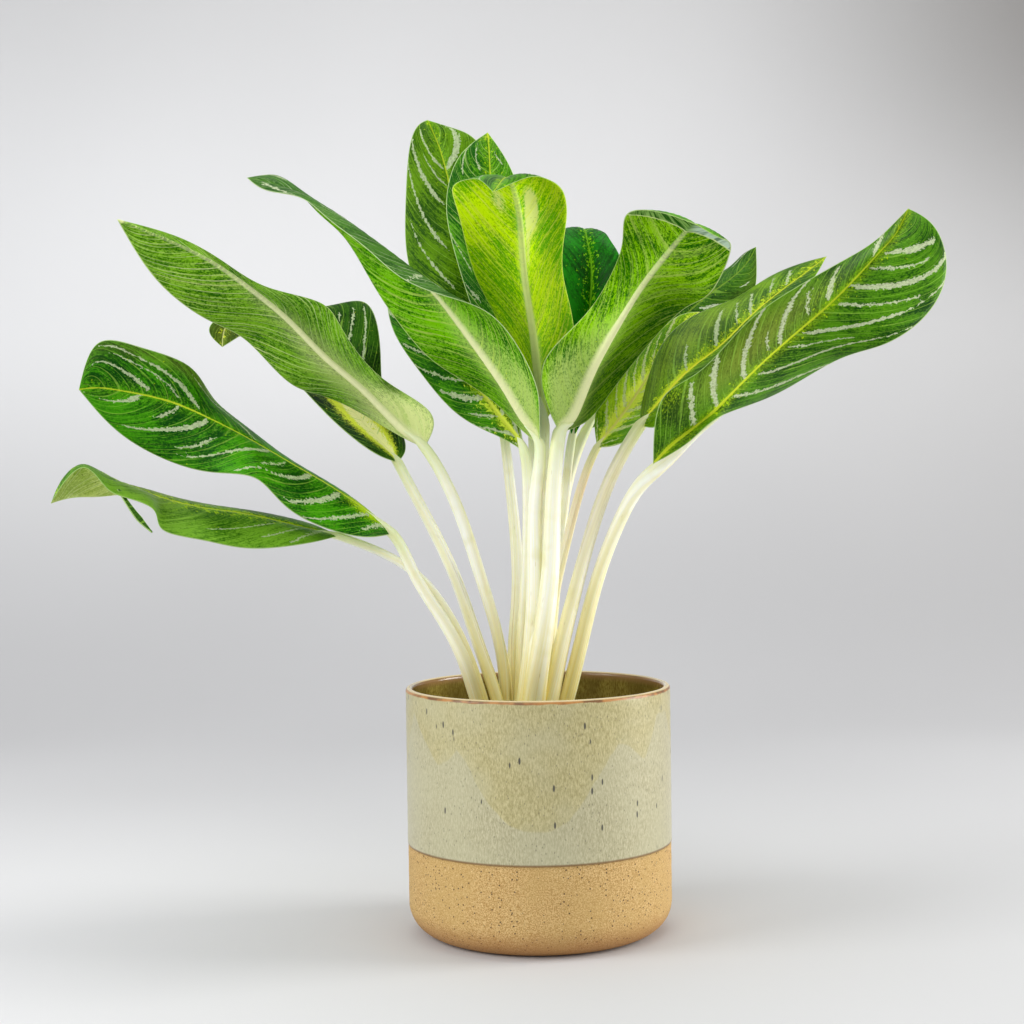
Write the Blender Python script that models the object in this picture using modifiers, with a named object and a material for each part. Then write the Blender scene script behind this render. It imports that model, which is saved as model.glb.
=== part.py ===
"""Potted aglaonema: a stoneware pot, soil, one crown of leaf stalks and fifteen leaf blades.

Sizes are in metres. The origin is the centre of the pot's flat underside and +Z is up.
The leaf points are in millimetres. They were picked by eye along each leaf in the photo, given a
depth by judgement, and turned into millimetres with the camera fitted to the pot.
"""
import math

import bmesh
import bpy
import numpy as np

MM = 0.001
MERGE_DISTANCE = 0.000001

# Pot
POT_RADIUS = 0.075
POT_HEIGHT = 0.1394
POT_WALL = 0.004
POT_FLOOR = 0.007
BASE_ROUNDING = 0.018
GLAZE_LINE = 0.0519
GLAZE_THICKNESS = 0.0003
INNER_ROUNDING = 0.014
POT_STEPS = 56
ARC_STEPS = 6

# Soil and the crown that stands in it
SOIL_TOP = 0.114
SOIL_EDGE_DROP = 0.002
SOIL_EDGE_WIDTH = 0.004
CLEARANCE = 0.0003
CROWN_CENTRE = (-0.009, -0.001)
CROWN_RADIUS = 0.027
CROWN_BOTTOM = 0.096
CROWN_TOP = 0.1148
CROWN_SIDES = 32
HOLE_OVERSHOOT = 0.010

# Leaf stalks and blades
STALK_STEPS = 11
STALK_BEVEL_RESOLUTION = 2
STALK_GAP = 0.0005
STALK_FOOT = 0.100
BLADE_ROWS = 17
HALF_BLADE = (0.0, 0.10, 0.38, 0.70, 1.0)
HALF_BULGE = 0.16
RIB_DEPTH = 0.0026
BLADE_THICKNESS = 0.0007
RIB_TAPER = 1.3

# Colours
STONEWARE = (0.52, 0.50, 0.36)
SOIL = (0.05, 0.033, 0.022)
STALK = (0.80, 0.78, 0.55)
LEAF = (0.09, 0.27, 0.05)

# Each leaf runs from the foot of its stalk, up the stalk, then along the blade's midrib.
# "left" and "right" are the blade's two edges, seen from its upper side, base to tip.
# "stalk_end" is the way of a stalk that meets its blade above the blade's lowest lobe.
LEAVES = {
    "leaf_tall_back": {
        "stalk_radii": (4.2, 2.6),
        "stalk": [(-16, 12, 103), (-14, 14, 129), (-13, 20, 163), (-11, 27, 203), (-15, 33, 256)],
        "rib": [(-18, 36, 282), (-22, 44, 303), (-31, 57, 348), (-40, 70, 394), (-47, 82, 424),
                (-54, 92, 453), (-59, 98, 468), (-64, 104, 480)],
        "left": [(-37, 31, 304), (-60, 45, 348), (-75, 70, 388), (-77, 82, 424), (-75, 92, 459),
                 (-70, 98, 475)],
        "right": [(-8, 58, 308), (-3, 71, 353), (-7, 70, 400), (-14, 82, 432), (-31, 92, 462),
                  (-46, 98, 473)],
    },
    "leaf_back_middle": {
        "stalk_radii": (4.2, 2.6),
        "stalk": [(-8, 10, 103), (-6, 12, 129), (-4, 16, 163), (-2, 21, 204), (-1, 26, 250)],
        "rib": [(-1, 29, 280), (-5, 33, 305), (-14, 42, 350), (-21, 52, 392), (-24, 62, 427),
                (-25, 70, 450), (-26, 78, 467)],
        "left": [(-15, 27, 305), (-33, 35, 349), (-47, 48, 395), (-51, 62, 424), (-44, 70, 450)],
        "right": [(6, 27, 309), (2, 34, 355), (-1, 44, 398), (-6, 57, 425), (-14, 67, 447)],
    },
    "leaf_front_middle": {
        "stalk_radii": (5.4, 3.4),
        "stalk": [(-5, -11, 107), (-3, -14, 132), (0, -14, 166), (2, -12, 205), (3, -10, 250)],
        "rib": [(5, -8, 287), (3, -11, 305), (0, -20, 335), (-4, -32, 366), (-6, -46, 394),
                (-9, -58, 410), (-12, -74, 415), (-15, -98, 410), (-19, -124, 400)],
        "left": [(16, 2, 307), (23, 3, 340), (17, -4, 373), (19, -25, 398), (17, -47, 412),
                 (8, -64, 416), (-2, -87, 413)],
        "right": [(-8, 3, 309), (-19, 6, 344), (-32, -11, 371), (-39, -46, 398), (-42, -58, 413),
                  (-33, -66, 416), (-26, -85, 412)],
    },
    "leaf_small_back": {
        "stalk_radii": (4.0, 2.4),
        "stalk": [(1, 12, 103), (4, 16, 129), (7, 19, 163), (12, 24, 209), (18, 29, 250)],
        "rib": [(22, 32, 280), (29, 35, 311), (33, 39, 349), (35, 46, 380), (33, 60, 399),
                (32, 80, 408), (31, 108, 401)],
        "left": [(17, 19, 311), (14, 26, 351), (14, 41, 383), (17, 53, 400), (21, 80, 408)],
        "right": [(39, 19, 312), (49, 23, 355), (52, 34, 382), (47, 49, 396), (42, 80, 406)],
    },
    "leaf_front_right": {
        "stalk_radii": (6.0, 3.8),
        "stalk": [(-3, -16, 107), (-2, -20, 133), (3, -24, 167), (8, -22, 206), (10, -20, 245)],
        "rib": [(14, -20, 282), (21, -20, 290), (31, -24, 312), (44, -32, 336), (59, -44, 360),
                (72, -58, 376), (81, -76, 386), (83, -96, 387), (83, -118, 383)],
        "left": [(30, -4, 289), (45, 2, 307), (69, -6, 336), (86, -24, 351), (96, -58, 356),
                 (104, -76, 375), (97, -96, 379)],
        "right": [(7, -30, 297), (6, -38, 321), (28, -23, 346), (44, -15, 370), (49, -43, 385),
                  (50, -76, 395), (65, -96, 393)],
    },
    "leaf_back_right": {
        "stalk_radii": (4.4, 2.8),
        "stalk": [(4, 9, 103), (5, 11, 129), (7, 17, 163), (12, 24, 209), (18, 30, 250)],
        "rib": [(30, 36, 284), (46, 50, 305), (74, 70, 336), (101, 86, 362), (121, 96, 377),
                (133, 104, 388), (140, 110, 399)],
        "left": [(35, 64, 316), (56, 85, 351), (88, 100, 372), (117, 108, 383), (131, 113, 394)],
        "right": [(58, 54, 298), (89, 75, 323), (115, 83, 345), (134, 94, 364), (139, 100, 381)],
    },
    "leaf_right_inner": {
        "stalk_radii": (3.6, 2.2),
        "stalk": [(4, 2, 105), (4, 2, 130), (9, 5, 181), (16, 8, 214), (26, 11, 250)],
        "rib": [(36, 15, 274), (45, 22, 285), (58, 34, 302), (71, 48, 321), (86, 62, 341),
                (101, 74, 356)],
        "left": [(36, 30, 295), (48, 40, 315), (65, 55, 332), (84, 66, 351)],
        "right": [(51, 4, 277), (70, 23, 292), (86, 43, 309), (101, 62, 332)],
    },
    "leaf_right_middle": {
        "stalk_radii": (5.6, 3.6),
        "stalk": [(3, -6, 106), (7, -9, 132), (16, -10, 172), (28, -8, 216), (43, -4, 257)],
        "rib": [(60, 0, 286), (69, 4, 297), (81, 12, 310), (95, 24, 322), (111, 38, 334),
                (129, 54, 351), (149, 70, 367), (167, 86, 380), (182, 98, 391)],
        "left": [(62, 23, 297), (68, 35, 318), (80, 46, 340), (101, 62, 355), (124, 81, 365),
                 (145, 91, 378), (166, 99, 387)],
        "right": [(71, -13, 286), (88, -13, 301), (104, -5, 314), (121, 8, 327), (137, 27, 341),
                  (155, 48, 360), (170, 73, 375)],
    },
    "leaf_far_right": {
        "stalk_radii": (5.4, 3.3),
        "stalk": [(8, -2, 105), (16, -4, 131), (25, -6, 165), (35, -7, 202), (48, -8, 234)],
        "stalk_end": [(60, -8, 253), (75, -8, 267), (91, -9, 283), (105, -12, 295)],
        "rib": [(66, -17, 264), (83, -19, 280), (100, -18, 293), (121, -12, 313), (145, -4, 334),
                (168, 4, 353), (187, 14, 371), (203, 24, 387), (213, 33, 398), (221, 42, 412)],
        "left": [(66, -28, 282), (72, -35, 302), (93, -26, 316), (119, -19, 342), (148, -11, 362),
                 (173, 0, 376), (192, 14, 387), (206, 27, 398)],
        "right": [(86, -20, 276), (104, -18, 290), (139, 19, 303), (174, 16, 322), (199, 4, 330),
                  (225, 14, 347), (239, 24, 373), (235, 33, 399)],
    },
    "leaf_front_left": {
        "stalk_radii": (5.0, 3.2),
        "stalk": [(-11, -5, 106), (-7, -8, 132), (-3, -13, 166), (-1, -16, 206), (0, -18, 245)],
        "rib": [(3, -20, 275), (-5, -22, 289), (-16, -25, 307), (-33, -29, 332), (-52, -31, 358),
                (-72, -28, 378), (-94, -25, 395), (-114, -23, 409), (-132, -22, 418), (-146, -23, 423),
                (-157, -26, 425)],
        "left": [(3, -38, 295), (-1, -48, 314), (-18, -58, 341), (-41, -64, 353), (-68, -59, 364),
                 (-89, -51, 382), (-110, -44, 399), (-126, -36, 412), (-145, -30, 417)],
        "right": [(-10, -10, 287), (-27, 1, 304), (-53, -4, 321), (-70, -10, 338), (-88, -4, 364),
                  (-105, 1, 393), (-121, -2, 409), (-137, -8, 426), (-149, -16, 428)],
    },
    "leaf_left_inner": {
        "stalk_radii": (4.2, 2.8),
        "stalk": [(-13, 3, 105), (-10, 3, 130), (-8, 4, 165), (-5, 5, 204), (-4, 6, 244)],
        "rib": [(-6, 7, 272), (-15, 9, 287), (-31, 12, 308), (-47, 16, 330), (-62, 22, 350),
                (-74, 29, 368), (-85, 36, 384)],
        "left": [(-21, 9, 281), (-44, 12, 294), (-65, 16, 318), (-80, 22, 341), (-85, 29, 362)],
        "right": [(-10, 9, 292), (-22, 12, 316), (-36, 16, 337), (-51, 22, 357), (-67, 29, 374)],
    },
    "leaf_left_upper": {
        "stalk_radii": (4.6, 2.8),
        "stalk": [(-19, 8, 104), (-18, 8, 130), (-22, 6, 165), (-33, 2, 205), (-46, -3, 245)],
        "rib": [(-62, -8, 275), (-75, -10, 286), (-94, -15, 306), (-115, -22, 325), (-135, -30, 346),
                (-156, -38, 364), (-176, -46, 378), (-199, -54, 389), (-221, -62, 398)],
        "left": [(-59, -1, 295), (-88, 14, 316), (-109, 8, 343), (-121, -2, 358), (-149, -10, 366),
                 (-171, -23, 379), (-193, -41, 391)],
        "right": [(-80, -2, 284), (-114, 11, 303), (-139, 3, 313), (-161, -7, 336), (-180, -28, 347),
                  (-199, -46, 362), (-212, -54, 380)],
    },
    "leaf_left_back": {
        "stalk_radii": (4.8, 3.0),
        "stalk": [(-20, 0, 105), (-23, -2, 131), (-34, 1, 165), (-48, 5, 205), (-66, 10, 242)],
        "rib": [(-79, 14, 267), (-87, 18, 278), (-105, 26, 297), (-122, 40, 316), (-136, 54, 335),
                (-150, 70, 347), (-175, 90, 356), (-191, 102, 354), (-195, 108, 341)],
        "left": [(-92, 0, 273), (-113, 12, 289), (-132, 22, 308), (-149, 38, 325), (-161, 46, 336),
                 (-177, 82, 345), (-185, 102, 346)],
        "right": [(-76, 33, 280), (-88, 46, 307), (-90, 40, 332), (-99, 54, 362), (-129, 70, 362),
                  (-170, 95, 366), (-201, 103, 355)],
    },
    "leaf_left_lower": {
        "stalk_radii": (5.2, 3.2),
        "stalk": [(-24, -5, 106), (-34, -9, 132), (-41, -15, 155), (-53, -16, 179), (-68, -17, 204)],
        "rib": [(-80, -18, 227), (-107, -22, 250), (-134, -27, 267), (-157, -32, 281), (-179, -38, 293),
                (-200, -43, 302), (-221, -48, 307), (-235, -52, 309), (-245, -55, 308)],
        "left": [(-100, -40, 227), (-132, -49, 241), (-150, -57, 259), (-179, -46, 263),
                 (-210, -43, 274), (-229, -48, 288), (-240, -52, 301)],
        "right": [(-107, 7, 244), (-139, 8, 263), (-162, 2, 285), (-180, -10, 304), (-189, -35, 321),
                  (-213, -48, 331), (-235, -52, 333)],
    },
    "leaf_left_lowest": {
        "stalk_radii": (4.2, 2.4),
        "stalk": [(-24, -3, 106), (-31, -4, 131), (-40, -8, 160), (-54, -10, 188), (-77, -12, 211)],
        "rib": [(-111, -14, 226), (-132, -18, 232), (-158, -24, 239), (-181, -30, 243),
                (-201, -35, 248), (-214, -39, 253), (-225, -44, 258), (-235, -49, 264),
                (-245, -53, 267), (-254, -57, 260), (-260, -60, 247)],
        "left": [(-126, -39, 223), (-155, -47, 221), (-179, -55, 226), (-200, -59, 232),
                 (-204, -63, 243), (-219, -66, 250), (-229, -67, 256), (-239, -69, 266),
                 (-251, -67, 258)],
        "right": [(-129, 4, 232), (-156, 5, 237), (-182, 1, 241), (-203, -6, 246), (-217, -12, 250),
                  (-229, -21, 251), (-240, -35, 250), (-246, -53, 250), (-254, -54, 249)],
    },
}

# The torn strip that hangs from the lowest leaf, and how wide each half of it is
TORN_STRIP = [(-223, -62, 254), (-217, -66, 246), (-211, -67, 238), (-204, -68, 231)]
TORN_HALF_WIDTHS = (1, 1.5, 2.2, 0)
TORN_ROWS = 9
TORN_FACING = (0.2, 0.5, 0.85)


def material(name, colour, roughness):
    """Make one plain Principled material."""
    made = bpy.data.materials.new(name)
    made.use_nodes = True
    shader = made.node_tree.nodes["Principled BSDF"]
    shader.inputs["Base Color"].default_value = (*colour, 1.0)
    shader.inputs["Roughness"].default_value = roughness
    shader.inputs["Metallic"].default_value = 0.0
    return made


def place(obj, collection, made):
    """Put a finished object in its collection and give it its material."""
    collection.objects.link(obj)
    obj.data.materials.clear()
    obj.data.materials.append(made)
    return obj


def mesh_object(name, vertices, faces):
    """Make an object from listed vertices and faces."""
    mesh = bpy.data.meshes.new(name)
    mesh.from_pydata([tuple(v) for v in vertices], [], faces)
    mesh.update()
    return bpy.data.objects.new(name, mesh)


def applied(obj):
    """Swap an object's modifiers for the mesh that they make."""
    graph = bpy.context.evaluated_depsgraph_get()
    mesh = bpy.data.meshes.new_from_object(obj.evaluated_get(graph))
    obj.modifiers.clear()
    obj.data = mesh
    return obj


def arc(centre, radius, start, end, steps):
    """Points of a circular arc in the profile plane, angles in degrees."""
    angles = np.radians(np.linspace(start, end, steps + 1))
    return [(centre[0] + radius * math.cos(a), centre[1] + radius * math.sin(a)) for a in angles]


def turned(name, profile, collection, steps):
    """Turn a profile of (radius, height) points round the Z axis."""
    vertices = [(r, 0.0, z) for r, z in profile]
    edges = [(i, i + 1) for i in range(len(vertices) - 1)]
    mesh = bpy.data.meshes.new(name)
    mesh.from_pydata(vertices, edges, [])
    obj = bpy.data.objects.new(name, mesh)
    collection.objects.link(obj)
    screw = obj.modifiers.new("turn", "SCREW")
    screw.steps = steps
    screw.render_steps = steps
    screw.use_merge_vertices = True
    screw.merge_threshold = MERGE_DISTANCE
    screw.use_normal_calculate = True
    applied(obj)
    collection.objects.unlink(obj)
    return obj


def face_out(obj):
    """Turn every face of a closed mesh outward and join any doubled points."""
    work = bmesh.new()
    work.from_mesh(obj.data)
    bmesh.ops.remove_doubles(work, verts=work.verts, dist=MERGE_DISTANCE)
    bmesh.ops.recalc_face_normals(work, faces=work.faces)
    work.to_mesh(obj.data)
    work.free()
    return obj


def spline(points, where):
    """A smooth curve through the points: a natural cubic, point number i at where == i."""
    points = np.asarray(points, float)
    count = len(points)
    system = np.eye(count)
    right_side = np.zeros_like(points)
    for i in range(1, count - 1):
        system[i, i - 1:i + 2] = (1, 4, 1)
        right_side[i] = 6 * (points[i - 1] - 2 * points[i] + points[i + 1])
    bend = np.linalg.solve(system, right_side)
    where = np.asarray(where, float)
    low = np.clip(np.floor(where).astype(int), 0, count - 2)
    t = (where - low)[:, None]
    straight = (1 - t) * points[low] + t * points[low + 1]
    curved = t * (1 - t) / 6 * ((2 - t) * bend[low] + (1 + t) * bend[low + 1])
    return straight - curved


def unit(vectors):
    """Vectors scaled to length one."""
    size = np.linalg.norm(vectors, axis=-1, keepdims=True)
    return vectors / np.maximum(size, 1e-9)


def pot_profile():
    """The pot's section, from the middle of its underside, up the outside and down the inside."""
    clay = POT_RADIUS - GLAZE_THICKNESS
    inner = POT_RADIUS - POT_WALL
    rim = POT_HEIGHT - POT_WALL / 2
    points = [(0.0, 0.0)]
    points += arc((clay - BASE_ROUNDING, BASE_ROUNDING), BASE_ROUNDING, -90, 0, ARC_STEPS)
    points += [(clay, GLAZE_LINE - GLAZE_THICKNESS), (POT_RADIUS, GLAZE_LINE)]
    points += arc((POT_RADIUS - POT_WALL / 2, rim), POT_WALL / 2, 0, 180, ARC_STEPS)
    corner = (inner - INNER_ROUNDING, POT_FLOOR + INNER_ROUNDING)
    points += arc(corner, INNER_ROUNDING, 0, -90, ARC_STEPS)
    points += [(0.0, POT_FLOOR)]
    return points


def soil_profile():
    """The soil's section: it fills the pot up to its own level, just clear of the wall."""
    radius = POT_RADIUS - POT_WALL - CLEARANCE
    corner = (POT_RADIUS - POT_WALL - INNER_ROUNDING, POT_FLOOR + INNER_ROUNDING)
    points = [(0.0, POT_FLOOR + CLEARANCE)]
    points += arc(corner, INNER_ROUNDING - CLEARANCE, -90, 0, ARC_STEPS)
    points += [(radius, SOIL_TOP - SOIL_EDGE_DROP), (radius - SOIL_EDGE_WIDTH, SOIL_TOP)]
    points += [(0.0, SOIL_TOP)]
    return points


def crown_body(name, radius, bottom, top):
    """A plain upright cylinder round the crown's centre."""
    bpy.ops.mesh.primitive_cylinder_add(
        vertices=CROWN_SIDES, radius=radius, depth=top - bottom,
        location=(CROWN_CENTRE[0], CROWN_CENTRE[1], (top + bottom) / 2))
    obj = bpy.context.object
    obj.name = name
    obj.data.transform(obj.matrix_world)
    obj.matrix_world.identity()
    for owner in list(obj.users_collection):
        owner.objects.unlink(obj)
    return obj


def build_pot(collection):
    """The stoneware pot, one turned piece."""
    pot = turned("pot", pot_profile(), collection, POT_STEPS)
    return place(face_out(pot), collection, material("pot", STONEWARE, 0.35))


def build_soil(collection, cutters):
    """The potting soil, with a plain round hole for the crown."""
    soil = turned("soil", soil_profile(), collection, POT_STEPS)
    face_out(soil)
    cutter = crown_body(
        "crown_hole", CROWN_RADIUS + CLEARANCE, CROWN_BOTTOM - CLEARANCE, SOIL_TOP + HOLE_OVERSHOOT)
    cutters.objects.link(cutter)
    cutter.hide_render = True
    cutter.display_type = "WIRE"
    place(soil, collection, material("soil", SOIL, 0.95))
    cut = soil.modifiers.new("crown_hole", "BOOLEAN")
    cut.operation = "DIFFERENCE"
    cut.solver = "EXACT"
    cut.object = cutter
    return applied(soil)


def stalk_line(leaf):
    """The centre line of one stalk, from its foot to just short of the blade, in metres.

    It aims for the midrib's first point, or follows its own end points where a lobe hangs past it.
    """
    own_end = leaf.get("stalk_end", [])
    line = np.array(leaf["stalk"] + (own_end or leaf["rib"]), float) * MM
    last = len(leaf["stalk"]) + max(len(own_end) - 1, 0)
    points = spline(line, np.linspace(0, last, STALK_STEPS))
    points[0, 2] = STALK_FOOT
    points[-1] -= unit(points[-1] - points[-2]) * STALK_GAP
    return points


def build_stalk(name, leaf, collection):
    """One leaf stalk: a tapering beveled curve, made a mesh."""
    points = stalk_line(leaf)
    low, high = leaf["stalk_radii"]
    curve = bpy.data.curves.new(name, "CURVE")
    curve.dimensions = "3D"
    curve.bevel_depth = 1.0
    curve.bevel_resolution = STALK_BEVEL_RESOLUTION
    curve.use_fill_caps = True
    path = curve.splines.new("POLY")
    path.points.add(len(points) - 1)
    for i, point in enumerate(points):
        path.points[i].co = (*point, 1.0)
        path.points[i].radius = (low + (high - low) * i / (len(points) - 1)) * MM
    source = bpy.data.objects.new(name, curve)
    collection.objects.link(source)
    bpy.context.view_layer.update()
    graph = bpy.context.evaluated_depsgraph_get()
    mesh = bpy.data.meshes.new_from_object(source.evaluated_get(graph))
    bpy.data.objects.remove(source)
    stalk = bpy.data.objects.new(name, mesh)
    face_out(stalk)
    collection.objects.link(stalk)
    return stalk


def joined(obj, pieces):
    """Fuse a collection of pieces into an object, then remove the pieces."""
    union = obj.modifiers.new("fuse", "BOOLEAN")
    union.operation = "UNION"
    union.operand_type = "COLLECTION"
    union.collection = pieces
    union.solver = "MANIFOLD"
    bpy.context.view_layer.update()
    applied(obj)
    for piece in list(pieces.objects):
        bpy.data.objects.remove(piece)
    bpy.data.collections.remove(pieces)
    return obj


def build_stalks(collection):
    """All the leaf stalks, fused at the foot into the one crown that they spring from."""
    crown = crown_body("stalks", CROWN_RADIUS, CROWN_BOTTOM, CROWN_TOP)
    place(crown, collection, material("stalks", STALK, 0.45))
    pieces = bpy.data.collections.new("stalk_pieces")
    bpy.context.scene.collection.children.link(pieces)
    for name, leaf in LEAVES.items():
        build_stalk("stalk_of_" + name, leaf, pieces)
    return joined(crown, pieces)


def half_blade(rib, edge, along, side):
    """One half of a blade: curves that arch from the midrib out to the edge.

    Each curve is a quadratic with its middle handle above the chord's centre.
    """
    chord = edge - rib
    width = np.linalg.norm(chord, axis=1, keepdims=True)
    up = unit(np.cross(chord * side, along))
    handle = (rib + edge) / 2 + up * width * HALF_BULGE
    return [(1 - s) ** 2 * rib + 2 * s * (1 - s) * handle + s * s * edge for s in HALF_BLADE]


def blade_grid(leaf):
    """Points of a blade's upper side: rows from base to tip, columns from left edge to right."""
    rib_points = np.array(leaf["rib"], float) * MM
    ends = [leaf["rib"][0]], [leaf["rib"][-1]]
    left_points = np.array(ends[0] + leaf["left"] + ends[1], float) * MM
    right_points = np.array(ends[0] + leaf["right"] + ends[1], float) * MM
    rows = np.linspace(0, len(rib_points) - 1, BLADE_ROWS)
    line = np.array(leaf["stalk"], float) * MM
    rib = spline(np.concatenate([line, rib_points]), rows + len(line))
    along = unit(np.gradient(rib, axis=0))
    left = half_blade(rib, spline(left_points, rows), along, -1)
    right = half_blade(rib, spline(right_points, rows), along, 1)
    return np.stack(left[::-1] + right[1:], axis=1)


def grid_mesh(name, grid):
    """An open sheet over a grid whose first and last rows close to a point, all in triangles."""
    rows, columns = grid.shape[:2]
    vertices = [grid[0, columns // 2]]
    vertices += list(grid[1:-1].reshape(-1, 3))
    vertices.append(grid[-1, columns // 2])
    last = len(vertices) - 1
    faces = []
    for j in range(columns - 1):
        faces.append((0, 2 + j, 1 + j))
        top = 1 + (rows - 3) * columns + j
        faces.append((last, top, top + 1))
        for i in range(rows - 3):
            a = 1 + i * columns + j
            faces.append((a, a + 1, a + columns))
            faces.append((a + 1, a + columns + 1, a + columns))
    return mesh_object(name, vertices, faces)


def thickened(obj, depth, weights):
    """Give a sheet its thickness below, deeper where its weights are larger."""
    group = obj.vertex_groups.new(name="depth")
    for index, weight in enumerate(weights):
        group.add([index], weight, "REPLACE")
    solid = obj.modifiers.new("thickness", "SOLIDIFY")
    solid.thickness = depth
    solid.offset = -1.0
    solid.vertex_group = "depth"
    solid.use_rim = True
    bpy.context.view_layer.update()
    applied(obj)
    obj.vertex_groups.clear()
    return face_out(obj)


def rib_weights(rows, columns):
    """Thickness weights for a blade: the midrib is deepest, thins toward the tip, and ends thin."""
    thin = BLADE_THICKNESS / RIB_DEPTH
    weights = np.full((rows, columns), thin)
    t = np.linspace(0, 1, rows)
    weights[:, columns // 2] = thin + (1 - thin) * (1 - t) ** RIB_TAPER
    middle = columns // 2
    return [thin, *weights[1:-1].ravel(), thin]


def build_blade(name, leaf, collection, made):
    """One leaf blade, with its midrib standing out below."""
    grid = blade_grid(leaf)
    blade = grid_mesh(name, grid)
    place(blade, collection, made)
    return thickened(blade, RIB_DEPTH, rib_weights(*grid.shape[:2]))


def add_torn_strip(blade, made):
    """Fuse the narrow torn strip onto the lowest leaf."""
    line = np.array(TORN_STRIP, float) * MM
    where = np.linspace(0, len(line) - 1, TORN_ROWS)
    centre = spline(line, where)
    half = np.interp(where, range(len(line)), TORN_HALF_WIDTHS)[:, None] * MM
    across = unit(np.cross(unit(np.gradient(centre, axis=0)), TORN_FACING))
    grid = np.stack([centre - across * half, centre, centre + across * half], axis=1)
    strip = grid_mesh("torn_strip", grid)
    pieces = bpy.data.collections.new("strip_pieces")
    bpy.context.scene.collection.children.link(pieces)
    place(strip, pieces, made)
    thickened(strip, BLADE_THICKNESS, [1.0] * len(strip.data.vertices))
    return joined(blade, pieces)


def main():
    """Clear the scene and build every piece."""
    for obj in list(bpy.data.objects):
        bpy.data.objects.remove(obj)
    collection = bpy.data.collections.new("potted_aglaonema")
    cutters = bpy.data.collections.new("cutters")
    bpy.context.scene.collection.children.link(collection)
    bpy.context.scene.collection.children.link(cutters)
    build_pot(collection)
    build_soil(collection, cutters)
    build_stalks(collection)
    for name, leaf in LEAVES.items():
        made = material(name, LEAF, 0.4)
        blade = build_blade(name, leaf, collection, made)
        if name == "leaf_left_lowest":
            add_torn_strip(blade, made)


main()
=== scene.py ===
import math

import bpy
import numpy as np
from mathutils import Matrix, Vector


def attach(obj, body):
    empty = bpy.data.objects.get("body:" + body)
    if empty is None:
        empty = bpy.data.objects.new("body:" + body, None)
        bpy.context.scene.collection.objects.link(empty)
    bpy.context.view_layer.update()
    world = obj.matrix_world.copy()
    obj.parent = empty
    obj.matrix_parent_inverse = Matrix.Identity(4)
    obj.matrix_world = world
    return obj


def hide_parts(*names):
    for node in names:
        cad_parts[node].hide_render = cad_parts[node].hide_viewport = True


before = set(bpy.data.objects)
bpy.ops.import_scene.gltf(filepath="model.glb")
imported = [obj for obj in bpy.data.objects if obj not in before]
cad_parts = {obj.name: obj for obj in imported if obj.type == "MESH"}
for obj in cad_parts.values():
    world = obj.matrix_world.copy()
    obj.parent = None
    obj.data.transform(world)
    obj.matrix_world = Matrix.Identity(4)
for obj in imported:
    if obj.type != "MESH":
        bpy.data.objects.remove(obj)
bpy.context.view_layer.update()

# The studio: a pale paper sweep that runs under the pot and up behind it, four soft lights,
# and a camera at the photo's place. Lengths are in metres, and +Z is up.
FRAME_PIXELS = 1024
LENS_PIXELS = 1823.5
SENSOR = 36.0
CAMERA_PLACE = (0.0, -1.035, 0.262)
CAMERA_DOWN = math.radians(1.34)
CAMERA_ROLL = -0.0134
CAMERA_YAW = -0.0129
PAPER_HALF_WIDTH = 7.0
PAPER_FRONT = -7.0
BEND_STEPS = 24
PAPER_HEIGHT = 3.2
BEND_START = 0.75
BEND_RADIUS = 0.9
# Each light: its place, what it is aimed at, its width and height, its power and its colour.
LIGHTS = {
    "left_light": ((-1.9, -0.8, 1.2), (0.0, 0.0, 0.25), (1.1, 1.3), 24.0, (0.99, 0.995, 1.0)),
    "right_light": ((1.9, 0.1, 0.7), (0.0, 0.0, 0.25), (0.9, 1.2), 32.0, (1.0, 0.985, 0.96)),
    "front_light": ((-0.7, -2.2, 1.6), (0.0, 0.0, 0.25), (1.4, 1.0), 13.0, (1.0, 1.0, 1.0)),
    "top_light": ((0.1, 0.15, 2.0), (0.0, 0.0, 0.2), (1.4, 1.2), 11.0, (1.0, 1.0, 1.0)),
}
AIR_STRENGTH = 0.62
scene = bpy.context.scene


def tone(red, green, blue):
    """A colour as a picture editor gives it, 0 to 255, turned into the linear light of a shader."""
    part = np.array([red, green, blue]) / 255.0
    linear = np.where(part <= 0.04045, part / 12.92, ((part + 0.055) / 1.055) ** 2.4)
    return (*[float(v) for v in linear], 1.0)


def together(*parts):
    """Arrays spread to one shape and stacked, so that their values lie side by side in a last axis."""
    return np.stack(np.broadcast_arrays(*parts), axis=-1)


def mesh_piece(name, vertices, *faces):
    """A new smooth object at the origin with its place in its mesh. Each array of faces holds faces
    with one number of corners."""
    mesh = bpy.data.meshes.new(name)
    all_faces = [face for part in faces for face in part.tolist()]
    mesh.from_pydata(vertices.reshape(-1, 3).tolist(), [], all_faces)
    mesh.polygons.foreach_set("use_smooth", np.full(len(mesh.polygons), True))
    mesh.update()
    piece = bpy.data.objects.new(name, mesh)
    scene.collection.objects.link(piece)
    return piece


def grid_faces(rows, columns, closed=False):
    """Quads between neighbouring rows and columns of a grid, joined round at its side if closed."""
    i = np.arange(rows - 1)[:, None] * columns
    j = np.arange(columns if closed else columns - 1)
    k = (j + 1) % columns
    return together(i + j, i + k, i + columns + k, i + columns + j).reshape(-1, 4)


def sign(operation):
    """A sign between a reading and a number or another reading, worked out by one Math node."""
    return lambda reading, other=0.0: reading.finish.number(operation, reading, other)


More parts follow.
